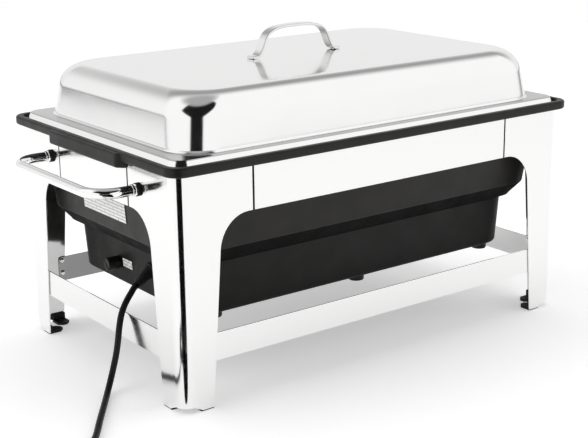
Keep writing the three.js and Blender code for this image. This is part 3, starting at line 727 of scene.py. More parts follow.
@dataclass
class Studio:
    """The pale floor, the soft surroundings and the camera."""

    camera_place: Point = (-0.9009, -1.2040, 0.5542)
    camera_heading: float = 0.6406
    camera_pitch: float = 0.2797
    camera_roll: float = -0.0116
    lens: float = 79.7
    floor_size: float = 14.0
    gap_half_angle: float = math.radians(17.0)
    floor_gap_half_angle: float = math.radians(23.0)
    gap_flare: float = math.radians(58.0)
    flag_reach: float = 4.0
    flag_start: float = 20 * MM
    flag_end: float = 4 * MM
    flag_lift: float = 0.5 * MM

    def camera(self) -> None:
        """Places the camera, level but for a slight roll."""
        heading, pitch = self.camera_heading, self.camera_pitch
        level = math.cos(pitch)
        forward = Vector((math.sin(heading) * level, math.cos(heading) * level, -math.sin(pitch)))
        right = Vector((math.cos(heading), -math.sin(heading), 0))
        up = right.cross(forward)
        roll = self.camera_roll
        side, rise = right, up
        right = math.cos(roll) * side + math.sin(roll) * rise
        up = math.cos(roll) * rise - math.sin(roll) * side
        data = bpy.data.cameras.new("camera")
        data.lens = self.lens
        data.sensor_width = 36
        data.sensor_fit = "HORIZONTAL"
        camera = bpy.data.objects.new("camera", data)
        bpy.context.collection.objects.link(camera)
        turn = Matrix((right, up, -forward)).transposed().to_4x4()
        camera.matrix_world = Matrix.Translation(self.camera_place) @ turn
        bpy.context.scene.camera = camera

    def floor(self) -> None:
        """Lays the pale floor."""
        release()
        bpy.ops.mesh.primitive_grid_add(x_subdivisions=2, y_subdivisions=2, size=self.floor_size)
        floor = bpy.context.object
        floor.name = "floor"
        nodes = Nodes("floor_white")
        nodes.set(Base_Color=(0.93, 0.93, 0.93, 1.0), Roughness=0.9, Specular_IOR_Level=0.1,
                  Emission_Color=(1.0, 1.0, 1.0, 1.0), Emission_Strength=0.4)
        floor.data.materials.append(nodes.material)

    def flag(self) -> None:
        """Lays the dark end of the room on the floor, where only polished metal sees it."""
        release()
        toward = Vector((self.camera_place[0], self.camera_place[1], 0)).normalized()
        across = Vector((-toward.y, toward.x, 0))
        low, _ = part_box("leg_front_left")
        near = Vector((low[0], low[1], 0)) + self.flag_start * toward
        reach = self.flag_reach
        spread = math.tan(self.floor_gap_half_angle)
        piece = blank("dark_gap")
        bpy.ops.mesh.primitive_plane_add(size=2, location=(0, 0, 0))
        release()
        places = [near - self.flag_end * across, near + self.flag_end * across,
                  near + reach * (toward - spread * across), near + reach * (toward + spread * across)]
        for vertex, place in zip(piece.data.vertices, places):
            vertex.co = place + Vector((0, 0, self.flag_lift))
        nodes = Nodes("dark_gap")
        nodes.set(Base_Color=(0.004, 0.004, 0.004, 1.0), Roughness=1.0, Specular_IOR_Level=0.0)
        piece.data.materials.append(nodes.material)
        piece.visible_camera = False
        piece.visible_diffuse = False
        piece.visible_shadow = False

    def surroundings(self) -> None:
        """Makes the room: white all round, with a dark gap behind the camera."""
        world = bpy.data.worlds.new("room")
        bpy.context.scene.world = world
        world.use_nodes = True
        tree = world.node_tree
        background = tree.nodes["Background"]
        coordinates = tree.nodes.new("ShaderNodeTexCoord")

        def math_node(operation: str, first: object, second: object = None) -> bpy.types.NodeSocket:
            """Adds one sum.

            Args:
                operation: the kind of sum.
                first: its first value or socket.
                second: its second, if it has one.

            Returns:
                The socket that holds the result.
            """
            node = tree.nodes.new("ShaderNodeMath")
            node.operation = operation
            for socket, value in zip(node.inputs, (first, second)):
                if isinstance(value, bpy.types.NodeSocket):
                    tree.links.new(value, socket)
                elif value is not None:
                    socket.default_value = value
            return node.outputs[0]

        def ramp(value: bpy.types.NodeSocket, start: float, end: float,
                 low: float, high: float) -> bpy.types.NodeSocket:
            """Eases from one brightness to another.

            Args:
                value: the socket that is read.
                start: where the change starts.
                end: where it ends.
                low: the result before the start.
                high: the result after the end.

            Returns:
                The socket that holds the result.
            """
            node = tree.nodes.new("ShaderNodeMapRange")
            node.interpolation_type = "SMOOTHSTEP"
            tree.links.new(value, node.inputs["Value"])
            for key, number in (("From Min", start), ("From Max", end), ("To Min", low), ("To Max", high)):
                node.inputs[key].default_value = number
            return node.outputs["Result"]

        split = tree.nodes.new("ShaderNodeSeparateXYZ")
        tree.links.new(coordinates.outputs["Generated"], split.inputs[0])
        azimuth = math_node("ARCTAN2", split.outputs["Y"], split.outputs["X"])
        behind = math.atan2(self.camera_place[1], self.camera_place[0])
        away = math_node("ABSOLUTE", math_node("SUBTRACT", azimuth, behind))
        flare = ramp(split.outputs["Z"], 0.3, 0.9, 0.0, self.gap_flare)
        half = self.gap_half_angle
        beside = ramp(math_node("SUBTRACT", away, flare), half - 0.04, half + 0.08, 0.0, 1.0)
        above = ramp(split.outputs["Z"], 0.86, 0.99, 0.0, 1.0)
        clear = math_node("MAXIMUM", beside, above)
        sine, cosine = math.sin(self.camera_heading), math.cos(self.camera_heading)
        away_x = math_node("MULTIPLY", split.outputs["X"], sine)
        away_y = math_node("MULTIPLY", split.outputs["Y"], cosine)
        rear = ramp(math_node("ADD", away_x, away_y), 0.24, 0.6, 0.0, 1.0)
        front_sky = ramp(split.outputs["Z"], 0.84, 0.97, 1.04, 0.42)
        rear_sky = ramp(split.outputs["Z"], 0.29, 0.7, 0.88, 0.36)
        rear_share = math_node("MULTIPLY", rear, math_node("SUBTRACT", rear_sky, front_sky))
        horizon = ramp(split.outputs["Z"], -0.02, 0.01, 0.3, 1.0)
        grey = math_node("MULTIPLY", math_node("ADD", front_sky, rear_share), horizon)
        brightness = math_node("MULTIPLY", ramp(clear, 0.0, 1.0, 0.01, 1.0), grey)
        tree.links.new(brightness, background.inputs["Strength"])
        background.inputs["Color"].default_value = (1.0, 1.0, 1.0, 1.0)

    def lights(self) -> None:
        """Hangs two broad soft lights."""
        aim = Vector((0, 0, 0.2))
        for name, place, size, power in (("top_light", (0.3, 0.4, 2.6), 2.4, 14.0),
                                         ("side_light", (-2.2, 0.6, 1.6), 1.8, 6.0)):
            data = bpy.data.lights.new(name, "AREA")
            data.size = size
            data.energy = power
            light = bpy.data.objects.new(name, data)
            bpy.context.collection.objects.link(light)
            light.location = place
            light.visible_glossy = False
            light.rotation_mode = "QUATERNION"
            light.rotation_quaternion = (aim - Vector(place)).to_track_quat("-Z", "Y")

    def build(self) -> None:
        """Sets the whole studio up, after the camera."""
        bpy.context.scene.view_settings.view_transform = "Standard"
        self.floor()
        self.flag()
        self.surroundings()
        self.lights()


# ---- Mains cord ----


@dataclass
class MainsCord:
    """The cord: a strain relief, a run over the left rail to the table, a coil and a plug."""

    finishes: Finishes
    diameter: float = 7.0 * MM
    lying: float = 3.8 * MM
    coil_centre: Point = (-424 * MM, -244 * MM)
    coil_inner: float = 28.5 * MM
    coil_outer: float = 50.3 * MM
    coil_start: float = math.radians(108)
    turns_in: float = 3.05
    turns_up: float = 0.3
    turns_out: float = 3.10
    layer: float = 7.1 * MM
    turn_points: int = 24
    spacing: float = 3 * MM
    grounded: int = 9
    outlet: Point = (-227.1 * MM, -42 * MM, 115.3 * MM)
    outlet_sink: float = 1.3 * MM
    collar_sink: float = 0.1 * MM
    pin_start: float = 44.2 * MM

    def run(self) -> list[Vector]:
        """Lists the points of the run from the strain relief to the coil.

        Returns:
            The points, in metres.
        """
        points = [
            (-247.5, -45.5, 104.3), (-252.6, -46.5, 101.3), (-256.6, -48.2, 97.9), (-261.4, -50, 93.9),
            (-268.8, -53.2, 86.7), (-274.3, -55.8, 78.3), (-278.2, -57.4, 66), (-281, -58.3, 52),
            (-284.3, -58.9, 38), (-288.6, -60, 25.5), (-294.6, -63.4, 13.8), (-302.5, -71, 6),
            (-311.5, -82.8, 3.8), (-320.4, -95.4, 3.8), (-342.8, -126.9, 3.8), (-366.6, -160.6, 3.8),
            (-379.5, -174, 3.8), (-395, -182, 3.8), (-411, -187.2, 3.8), (-425, -191.7, 3.8),
        ]
        return [MM * Vector(point) for point in points]

    def coil(self) -> list[Vector]:
        """Winds the coil: inwards on the table, up one layer, and outwards on top.

        Returns:
            The points, in metres.
        """
        points = []
        total = self.turns_in + self.turns_up + self.turns_out
        for step in range(int(total * self.turn_points) + 1):
            turn = step / self.turn_points
            inner, outer = self.coil_inner, self.coil_outer
            if turn < self.turns_in:
                radius, height = outer + (inner - outer) * turn / self.turns_in, 0.0
            elif turn < self.turns_in + self.turns_up:
                radius, height = inner, (turn - self.turns_in) / self.turns_up
            else:
                share = (turn - self.turns_in - self.turns_up) / self.turns_out
                radius, height = inner + (outer - inner) * share, 1.0
            angle = self.coil_start + 2 * math.pi * turn
            height = self.lying + self.layer * (3 * height ** 2 - 2 * height ** 3)
            points.append(Vector((self.coil_centre[0] + radius * math.cos(angle),
                                  self.coil_centre[1] + radius * math.sin(angle), height)))
        return points

    def tail(self) -> list[Vector]:
        """Lists the points from the coil to the plug."""
        points = [(-412, -294.5, 11.2), (-402, -294.7, 11.9), (-391, -294.9, 14), (-381.5, -295, 16.9),
                  (-374.5, -295, 18)]
        return [MM * Vector(point) for point in points]

    def path(self) -> list[Vector]:
        """Runs one smooth line through the run, the coil and the tail."""
        return smooth_line(self.run() + self.coil() + self.tail(), self.spacing)

    def cord(self) -> tuple[Object, list[Vector], float]:
        """Sweeps the sheath along the path.

        Returns:
            The tube, the points that it follows and its length.
        """
        path = self.path()
        cord = drawn_line("mains_cord_sheath", path, self.diameter / 2)
        bpy.ops.object.mode_set(mode="EDIT")
        bpy.ops.mesh.select_all(action="SELECT")
        bpy.ops.mesh.remove_doubles(threshold=0.005 * MM)
        bpy.ops.object.mode_set(mode="OBJECT")
        bpy.ops.object.shade_smooth()
        length = sum((b - a).length for a, b in zip(path, path[1:]))
        return cord, path, length

    def relief(self) -> Object:
        """Models the ribbed, tapered strain relief that leaves the housing and droops with the cord.

        Returns:
            The strain relief.
        """
        tip = self.run()[0]
        root = Vector(self.outlet) + Vector((centre("heater_housing").x - self.outlet_sink, 0, 0))
        axis = (tip - root).normalized()
        reach = (tip - root).length
        profile = [(7.0 * MM, 0.0), (7.0 * MM, 1.5 * MM)]
        ribs = 6
        width = (reach - 3.2 * MM) / ribs
        for rib in range(ribs):
            start = 2.5 * MM + width * rib
            radius = (6.7 - 2.1 * rib / ribs) * MM
            profile += [(radius - 0.9 * MM, start), (radius, start + 0.12 * width),
                        (radius - 0.15 * MM, start + 0.62 * width), (radius - 1.0 * MM, start + 0.74 * width)]
        profile += [(4.4 * MM, reach - 0.6 * MM), (4.0 * MM, reach)]
        tail = placed(turned("strain_relief_tail", profile, 28), root, axis)
        outline = in_metres([(9, 0), (9, 1.7), (8.7, 2.2), (8.2, 2.5), (5, 2.6)])
        flange = turned("strain_relief_flange", outline, 36)
        collar = placed(flange, root - Vector((self.collar_sink, 0, 0)), (-1, 0, 0))
        piece = joined([collar, tail], "strain_relief_fine")
        smooth(piece, 40)
        return dress(piece, self.finishes.rubber, Body.UNIT, "black_rubber", "strain_relief")

    def plug(self) -> Object:
        """Models a plain moulded two-pin plug with ribs to grip it by.

        Returns:
            The plug.
        """
        low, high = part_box("plug")
        axis_height = (low[2] + high[2]) / 2
        middle = (low[1] + high[1]) / 2
        radius = (high[1] - low[1]) / 2
        body = [(4.4, 0), (6, 0.6), (6.2, 4), (5.2, 4.4), (5.2, 5.2), (6.6, 5.6), (6.9, 9), (5.9, 9.4),
                (5.9, 10.2), (8, 10.8), (12, 15.5), (15.5, 21), (17.2, 26), (17.6, 28)]
        for groove in range(4):
            start = 29.2 + 2.6 * groove
            body += [(17.7, start), (17.0, start + 0.5), (17.0, start + 1.1), (17.7, start + 1.6)]
        body += [(17.9, 41), (17.9, 43.4), (17.4, 44), (13, 44)]
        widest, pin_gap = 18, 9.5 * MM
        profile = [(radius * part / widest, height * MM) for part, height in body]
        pieces = [turned("plug_body", profile, 48)]
        pin = in_metres([(2.4, 43), (2.4, 61.6), (2.1, 62.6), (1.3, 63)])
        for side in (-1, 1):
            pieces.append(placed(turned("plug_pin", pin, 20), (pin_gap * side, 0, 0)))
        plug = joined(pieces, "plug_fine")
        turn = Matrix.Rotation(math.pi / 2, 4, "Y") @ Matrix.Rotation(math.pi / 2, 4, "Z")
        plug.data.transform(Matrix.Translation((low[0], middle, axis_height)) @ turn)
        smooth(plug, 40)
        dress(plug, self.finishes.rubber, Body.FRAME, "cord_black", "plug")
        plug.data.materials.append(self.finishes.bar)
        for face in plug.data.polygons:
            if face.center.x > low[0] + self.pin_start:
                face.material_index = 1
        return plug

    def build(self) -> None:
        """Builds the cord and the pieces on it."""
        plug = self.plug()
        relief = self.relief()
        cord, path, length = self.cord()
        dress(cord, self.finishes.sheath, None, "cord_black", "mains_cord", "cord_coil", "cord_tail")
        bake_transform(cord, Body.UNIT.value, Body.FRAME.value, start=tuple(path[1]),
                 end=tuple(self.run()[self.grounded]))
        log.info("the cord is %.3f m long", length)


# ---- Frame ----


@dataclass
class SupportFrame:
    """The polished frame: legs, aprons, rails with their screws, foot pads and carrying handles."""

    finishes: Finishes
    edge: float = 0.35 * MM
    bar_radius: float = 5.5 * MM
    bar_bend: float = 28.0 * MM
    seam_reach: float = 2.6 * MM
    screw_inset: float = 4.0 * MM
    screw_gap: float = 0.05 * MM

    def sheets(self) -> None:
        """Refines the legs, the aprons and the rails."""
        for corner in CORNERS:
            leg = f"leg_{corner}"
            dress(refined(leg, self.edge), self.finishes.sheet, Body.FRAME, "polished_steel", leg)
        for side in SIDES:
            apron, rail = f"apron_{side}", f"rail_{side}"
            sheet = dress(refined(apron, self.edge), self.finishes.apron, Body.FRAME, "polished_steel", apron)
            self.shade_seams(sheet, side)
            # The rear rail takes the darker steel, which is painted shade.
            strips = {"front": self.finishes.strip, "rear": self.finishes.rear_strip}
            strip = strips.get(side, self.finishes.end_strip)
            dress(refined(rail, self.edge), strip, Body.FRAME, "strip_steel", rail)

    def shade_seams(self, sheet: Object, side: str) -> None:
        """Paints shade on the stepped ends of an apron, where they lie behind the legs' edges.

        Args:
            sheet: the apron.
            side: the side it is on.
        """
        sheet.data.materials.append(self.finishes.seam)
        along = 0 if side in ("front", "rear") else 1
        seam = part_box("leg_rear_right")[0][along]
        for face in sheet.data.polygons:
            if abs(face.center[along]) > seam - self.seam_reach:
                face.material_index = 1

    def pads(self) -> None:
        """Refines the clip-on foot pads."""
        for corner in CORNERS:
            for side in ("long", "end"):
                pad = f"foot_pad_{corner}_{side}"
                dress(refined(pad, 0.3 * MM), self.finishes.rubber, Body.FRAME, "black_rubber", pad)

    def screws(self) -> None:
        """Fastens each rail's ends with two small dome-headed screws."""
        head = [(3.1, 0.0), (3.1, 0.35), (2.7, 1.0), (1.9, 1.5), (0.9, 1.75), (0.3, 1.8)]
        model = turned("rail_screw", in_metres(head), 20)
        smooth(model, 50)
        for side in SIDES:
            low, high = corners(f"rail_{side}")
            along = 0 if side in ("front", "rear") else 1
            across = 1 - along
            inner = low[across] if abs(low[across]) < abs(high[across]) else high[across]
            inward = Vector((0, 0, 0))
            inward[across] = -math.copysign(1, inner)
            for end, sign in (("a", -1), ("b", 1)):
                for row, height in (("low", 0.34), ("high", 0.86)):
                    place = Vector((0, 0, 0))
                    place[along] = sign * (high[along] - self.screw_inset)
                    place[across] = inner + inward[across] * self.screw_gap
                    place.z = low.z + height * (high.z - low.z)
                    turn = Vector((0, 0, 1)).rotation_difference(inward).to_matrix().to_4x4()
                    screw = copied(model, f"rail_screw_{side}_{end}_{row}", Matrix.Translation(place) @ turn)
                    dress(screw, self.finishes.bar, Body.FRAME, "strip_steel")
        bpy.data.objects.remove(model, do_unlink=True)

    def handle(self) -> Object:
        """Bends the left carrying handle from round bar.

        Returns:
            The handle's bar.
        """
        low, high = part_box("side_handle_left")
        height = (low[2] + high[2]) / 2
        reach, half = low[0] + self.bar_radius, (high[1] - low[1]) / 2 - self.bar_radius
        piece = blank("side_handle_left_bar")
        bpy.ops.mesh.primitive_circle_add(vertices=28, radius=self.bar_radius,
                                          location=(high[0], -half, height), rotation=(0, math.pi / 2, 0))
        bend = {"steps": 12, "angle": math.pi / 2, "axis": (0, 0, 1)}
        across = half - self.bar_bend
        straight = high[0] - reach - self.bar_bend
        bpy.ops.mesh.extrude_region_move(TRANSFORM_OT_translate={"value": (-straight, 0, 0)})
        bpy.ops.mesh.spin(center=(reach + self.bar_bend, -across, height), **bend)
        bpy.ops.mesh.extrude_region_move(TRANSFORM_OT_translate={"value": (0, 2 * across, 0)})
        bpy.ops.mesh.spin(center=(reach + self.bar_bend, across, height), **bend)
        bpy.ops.mesh.extrude_region_move(TRANSFORM_OT_translate={"value": (straight, 0, 0)})
        bpy.ops.mesh.select_all(action="SELECT")
        bpy.ops.mesh.remove_doubles(threshold=MERGE)
        bpy.ops.mesh.fill_holes(sides=0)
        bpy.ops.mesh.normals_make_consistent(inside=False)
        release()
        smooth(piece, 40)
        return piece

    def handles(self) -> None:
        """Fits both carrying handles with their collars and washers."""
        left = self.handle()
        right = copied(left, "side_handle_right_bar", Matrix.Rotation(math.pi, 4, "Z"))
        dress(left, self.finishes.bar, Body.FRAME, "polished_steel", "side_handle_left")
        dress(right, self.finishes.bar, Body.FRAME, "polished_steel", "side_handle_right")
        collar = [(6.0, 0), (6.3, 0.3), (6.3, 1.4), (5.9, 1.8), (5.9, 2.2), (6.3, 2.6), (6.3, 4.2),
                  (6.1, 4.7), (5.6, 5.0)]
        washer = [(6.6, 0), (7.0, 0.4), (7.0, 2.2), (6.6, 2.6)]
        for side, outward in (("left", -1), ("right", 1)):
            for end in ("front", "rear"):
                for kind, outline, finish, slot in (("collar", collar, self.finishes.bar, "polished_steel"),
                                                    ("washer", washer, self.finishes.rubber, "black_rubber")):
                    node = f"handle_{kind}_{side}_{end}"
                    low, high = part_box(node)
                    inner = high[0] if outward < 0 else low[0]
                    middle = centre(node)
                    piece = turned(node + "_fine", in_metres(outline), 32)
                    placed(piece, (inner, middle.y, middle.z), (outward, 0, 0))
                    smooth(piece, 40)
                    dress(piece, finish, Body.FRAME, slot, node)

    def build(self) -> None:
        """Builds the whole frame."""
        self.sheets()
        self.pads()
        self.screws()
        self.handles()


# ---- Heated unit ----


@dataclass
class HeatedUnit:
    """The black tub and heater housing, with the controls and everything inside."""

    finishes: Finishes
    wall: float = 3.0 * MM
    corner: float = 34.0 * MM
    rim_corner: float = 18.0 * MM
    rim_edge: float = 2.6 * MM
    rim_height: float = 10.0 * MM
    ledge: float = 4.5 * MM
    lip: float = 7.5 * MM
    step_height: float = 159 * MM
    overhang: Point = (8 * MM, 10 * MM)
    wall_inset: Point = (17 * MM, 19 * MM)
    step_inset: Point = (6 * MM, 14 * MM)
    skirt_inset: Point = (18 * MM, 25 * MM)
    mouth_size: Point = (220 * MM, 122 * MM, 24 * MM)
    grip_half_length: float = 84 * MM
    grip_depth: float = 6.5 * MM
    grip_drop: float = 1.2 * MM
    grip_overlap: float = 6 * MM
    grip_taper: float = 11 * MM
    grip_edge: float = 2.6 * MM
    flutes: int = 24
    flute_scale: float = 0.955

    def tub(self) -> Object:
        """Models the tub with its rim and end grips.

        Returns:
            The tub.
        """
        low, high = corners("tub_body")
        leg_low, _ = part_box("leg_front_left")
        top = high.z
        under = top - self.rim_height
        half_x, half_y = self.overhang[0] - leg_low[0], self.overhang[1] - leg_low[1]
        wall_x, wall_y = half_x - self.wall_inset[0], half_y - self.wall_inset[1]
        skirt = Ring(wall_x - self.skirt_inset[0], wall_y - self.skirt_inset[1], self.corner - 2 * MM, low.z)
        foot = Ring(wall_x - self.step_inset[0], wall_y - self.step_inset[1], self.corner, self.step_height)
        outer = Ring(half_x, half_y, self.rim_corner, under)
        edge = self.rim_edge
        mouth = Ring(*self.mouth_size, low.z)
        rings = [mouth, skirt.inset(1.6 * MM), skirt.inset(0.5 * MM, 0.5 * MM), skirt.inset(0, 1.6 * MM)]
        rings += [foot.inset(1.3 * MM, -1.7 * MM), foot.inset(0.4 * MM, -0.5 * MM), foot.inset(0, 0.9 * MM)]
        rings += [Ring(wall_x - 0.2 * MM, wall_y - 0.5 * MM, self.corner, under - 2.5 * MM),
                  Ring(wall_x + 0.7 * MM, wall_y + 0.5 * MM, self.corner, under - 0.6 * MM),
                  Ring(wall_x + 2.5 * MM, wall_y + 2.5 * MM, self.corner, under), outer.inset(edge)]
        rings += [outer.inset(edge * (1 - sine), edge * (1 - cosine)) for sine, cosine in quarter(4, 1)]
        rings += [outer.inset(edge * (1 - cosine), self.rim_height - edge * (1 - sine))
                  for sine, cosine in quarter(4)]
        lip = outer.inset(self.lip, self.rim_height)
        lip = Ring(lip.half_x, lip.half_y, self.rim_corner - 4 * MM, lip.z)
        rings += [lip.inset(-0.9 * MM), lip.inset(-0.25 * MM, -0.25 * MM), lip.inset(0, -0.9 * MM),
                  lip.inset(0, -self.ledge)]
        inside = Ring(wall_x - self.wall, wall_y - self.wall, self.corner - self.wall, top - self.ledge)
        rings += [inside.inset(-1.2 * MM), inside.inset(0, -1.2 * MM)]
        rings += [Ring(foot.half_x - self.wall, foot.half_y - self.wall, self.corner - self.wall, foot.z),
                  Ring(skirt.half_x - self.wall, skirt.half_y - self.wall, self.corner - 5 * MM,
                       low.z + self.wall),
                  Ring(mouth.half_x, mouth.half_y, mouth.radius, low.z + self.wall)]
        piece = loft("tub_moulded", rings, closed=True)
        for sign in (-1, 1):
            combine(piece, self.grip(sign, high.x, half_x, under, top), "UNION")
        smooth(piece, 32)
        return piece

    def grip(self, sign: int, reach: float, half_x: float, under: float, top: float) -> Object:
        """Models one end grip, a rounded block that hangs from the rim.

        Args:
            sign: which end it is on.
            reach: how far out it stands.
            half_x: the rim's half length.
            under: the rim's underside.
            top: the rim's top.

        Returns:
            The grip.
        """
        piece = blank("end_grip")
        bpy.ops.mesh.primitive_cube_add(size=1, location=(0, 0, 0))
        bottom = under - self.grip_depth
        height = top - bottom - self.grip_drop
        inner = half_x - self.grip_overlap
        bpy.ops.transform.resize(value=(reach - inner, 2 * self.grip_half_length, height),
                                 center_override=(0, 0, 0))
        bpy.ops.transform.translate(value=(sign * (reach + inner) / 2, 0, bottom + height / 2))
        release()
        for vertex in piece.data.vertices:
            if abs(vertex.co.x) > half_x:
                vertex.co.y -= math.copysign(self.grip_taper, vertex.co.y)
        modify(piece, "BEVEL", width=self.grip_edge, segments=4, limit_method="ANGLE",
               angle_limit=math.radians(30))
        return piece

    def housing(self) -> Object:
        """Models the heater housing, an open-topped box with a rounded floor edge.

        Returns:
            The housing.
        """
        low, high = corners("heater_housing")
        radius, draft = 32 * MM, 3 * MM
        floor = Ring(high.x - draft, high.y - draft, radius, low.z)
        edge = 3.2 * MM
        rings = [floor.inset(edge * (1 - sine), edge * (1 - cosine)) for sine, cosine in quarter(4)]
        rings.append(Ring(high.x - 0.1 * MM, high.y - 0.1 * MM, radius, high.z - 0.6 * MM))
        rings.append(Ring(high.x - 0.6 * MM, high.y - 0.6 * MM, radius, high.z))
        piece = loft("housing_moulded", rings, low=True)
        modify(piece, "SOLIDIFY", thickness=2.5 * MM, offset=-1)
        smooth(piece, 32)
        return piece

    def cap(self) -> Object:
        """Models the screwed cap over the reset button, fluted round its side and slotted across its face.

        Returns:
            The cap.
        """
        low, high = corners("reset_cap")
        depth = high.x - low.x
        radius = (high.y - low.y) / 2
        profile = [(5.8 * MM, 0), (5.8 * MM, depth - 3 * MM), (2.0 * MM, depth - 2.6 * MM)]
        inside = turned("cap_bore", profile, 32)
        outer = [(radius - 0.4 * MM, 0), (radius, 0.5 * MM), (radius, depth - 1.4 * MM),
                 (radius - 0.4 * MM, depth - 0.5 * MM), (radius - 1.2 * MM, depth)]
        piece = turned("reset_cap_fine", outer, 3 * self.flutes)
        half_flute = math.radians(2)
        for index in range(self.flutes):
            angle = 2 * math.pi * index / self.flutes
            for vertex in piece.data.vertices:
                away = abs(math.remainder(math.atan2(vertex.co.y, vertex.co.x) - angle, 2 * math.pi))
                if away < half_flute and 0.4 * MM < vertex.co.z < depth - MM:
                    vertex.co.x *= self.flute_scale
                    vertex.co.y *= self.flute_scale
        combine(piece, inside, "DIFFERENCE")
        slot = blank("cap_slot")
        bpy.ops.mesh.primitive_cube_add(size=1)
        bpy.ops.transform.resize(value=(1.7 * MM, 2.4 * radius, 2.6 * MM), center_override=(0, 0, 0))
        release()
        slot.data.transform(Matrix.Translation((0, 0, depth)) @ Matrix.Rotation(math.radians(-45), 4, "Z"))
        combine(piece, slot, "DIFFERENCE")
        middle = centre("reset_cap")
        turn = Matrix(((0, 0, -1, 0), (0, 1, 0, 0), (1, 0, 0, 0), (0, 0, 0, 1)))
        piece.data.transform(Matrix.Translation((high.x, middle.y, middle.z)) @ turn)
        smooth(piece, 30)
        return piece

    def feet(self) -> None:
        """Models the stub feet under the housing."""
        for row in ("front", "rear"):
            for place in ("left", "middle", "right"):
                node = f"housing_foot_{row}_{place}"
                low, high = corners(node)
                radius, height = (high.x - low.x) / 2, high.z - low.z
                profile = [(radius - 1.6 * MM, 0), (radius - 0.5 * MM, 0.4 * MM), (radius, 1.4 * MM),
                           (radius, height - 0.2 * MM), (radius - 0.3 * MM, height)]
                middle = centre(node)
                piece = placed(turned(node + "_fine", profile, 32), (middle.x, middle.y, low.z))
                smooth(piece, 40)
                dress(piece, self.finishes.black, Body.UNIT, "black_plastic", node)

    def labels(self) -> None:
        """Sticks the blank labels on the left end."""
        for node, finish in (("rating_label", self.finishes.rating), ("reset_label", self.finishes.notice)):
            dress(refined(node, 0.12 * MM), finish, Body.UNIT, "label_white", node)

    def inner_parts(self) -> None:
        """Refines the parts inside the unit."""
        for node, finish, slot in (("heater_plate", self.finishes.aluminium, "aluminium"),
                                   ("thermostat", self.finishes.aluminium, "aluminium"),
                                   ("thermal_cutout", self.finishes.brown, "phenolic"),
                                   ("terminal_block", self.finishes.brown, "phenolic")):
            dress(refined(node, 0.5 * MM), finish, Body.UNIT, slot, node)
        element = refined("heating_element", 0.2 * MM, angle=60)
        dress(element, self.finishes.tray, Body.UNIT, "strip_steel", "heating_element")
        dress(refined("reset_button", 0.5 * MM), self.finishes.red, Body.BUTTON, "reset_red", "reset_button")

    def build(self) -> None:
        """Builds the whole unit."""
        tub = dress(self.tub(), self.finishes.black, Body.UNIT, "black_plastic", "tub_body")
        # Skirt faces below the step take the darker black, as painted shade under the tub's overhang.
        tub.data.materials.append(self.finishes.matt_black_painted_shade)
        for face in tub.data.polygons:
            if face.center.z < self.step_height and face.normal.z < 0.1:
                face.material_index = 1
        # The housing's darker black is painted shade under the tub.
        dress(self.housing(), self.finishes.housing_black_painted_shade, Body.UNIT, "black_plastic", "heater_housing")
        dress(self.cap(), self.finishes.black, Body.CAP, "black_plastic", "reset_cap")
        self.feet()
        self.labels()
        self.inner_parts()


# ---- Trays ----


@dataclass
class Tray:
    """A drawn steel tray with a flat flange: the water tank or the food pan."""

    node: str
    body: Body
    flange_corner: float
    mouth: Ring
    base: Ring
    sheet: float = 1.0 * MM

    def build(self, finishes: Finishes) -> None:
        """Draws the tray.

        Args:
            finishes: the object's materials.
        """
        low, high = corners(self.node)
        flange = Ring(high.x, high.y, self.flange_corner, high.z)
        mouth = Ring(self.mouth.half_x, self.mouth.half_y, self.mouth.radius, high.z)
        base = Ring(self.base.half_x, self.base.half_y, self.base.radius, low.z + self.sheet)
        roll, heel = 3.0 * MM, 9.0 * MM
        rings = [flange]
        rings += [mouth.inset(roll * (sine - 1), -roll * (1 - cosine)) for sine, cosine in quarter(4)]
        rings += [base.inset(heel * (1 - cosine), heel * (1 - sine)) for sine, cosine in quarter(5)]
        piece = loft(self.node + "_drawn", rings, high=True)
        piece.data.flip_normals()
        modify(piece, "SOLIDIFY", thickness=self.sheet, offset=-1 if self.faces_up(piece) else 1)
        smooth(piece, 32)
        dress(piece, finishes.tray, self.body, "brushed_steel", self.node)

    @staticmethod
    def faces_up(piece: Object) -> bool:
        """Tells whether the tray's floor faces up."""
        floor = min(piece.data.polygons, key=lambda face: face.center.z)
        return floor.normal.z > 0


# ---- Lid ----


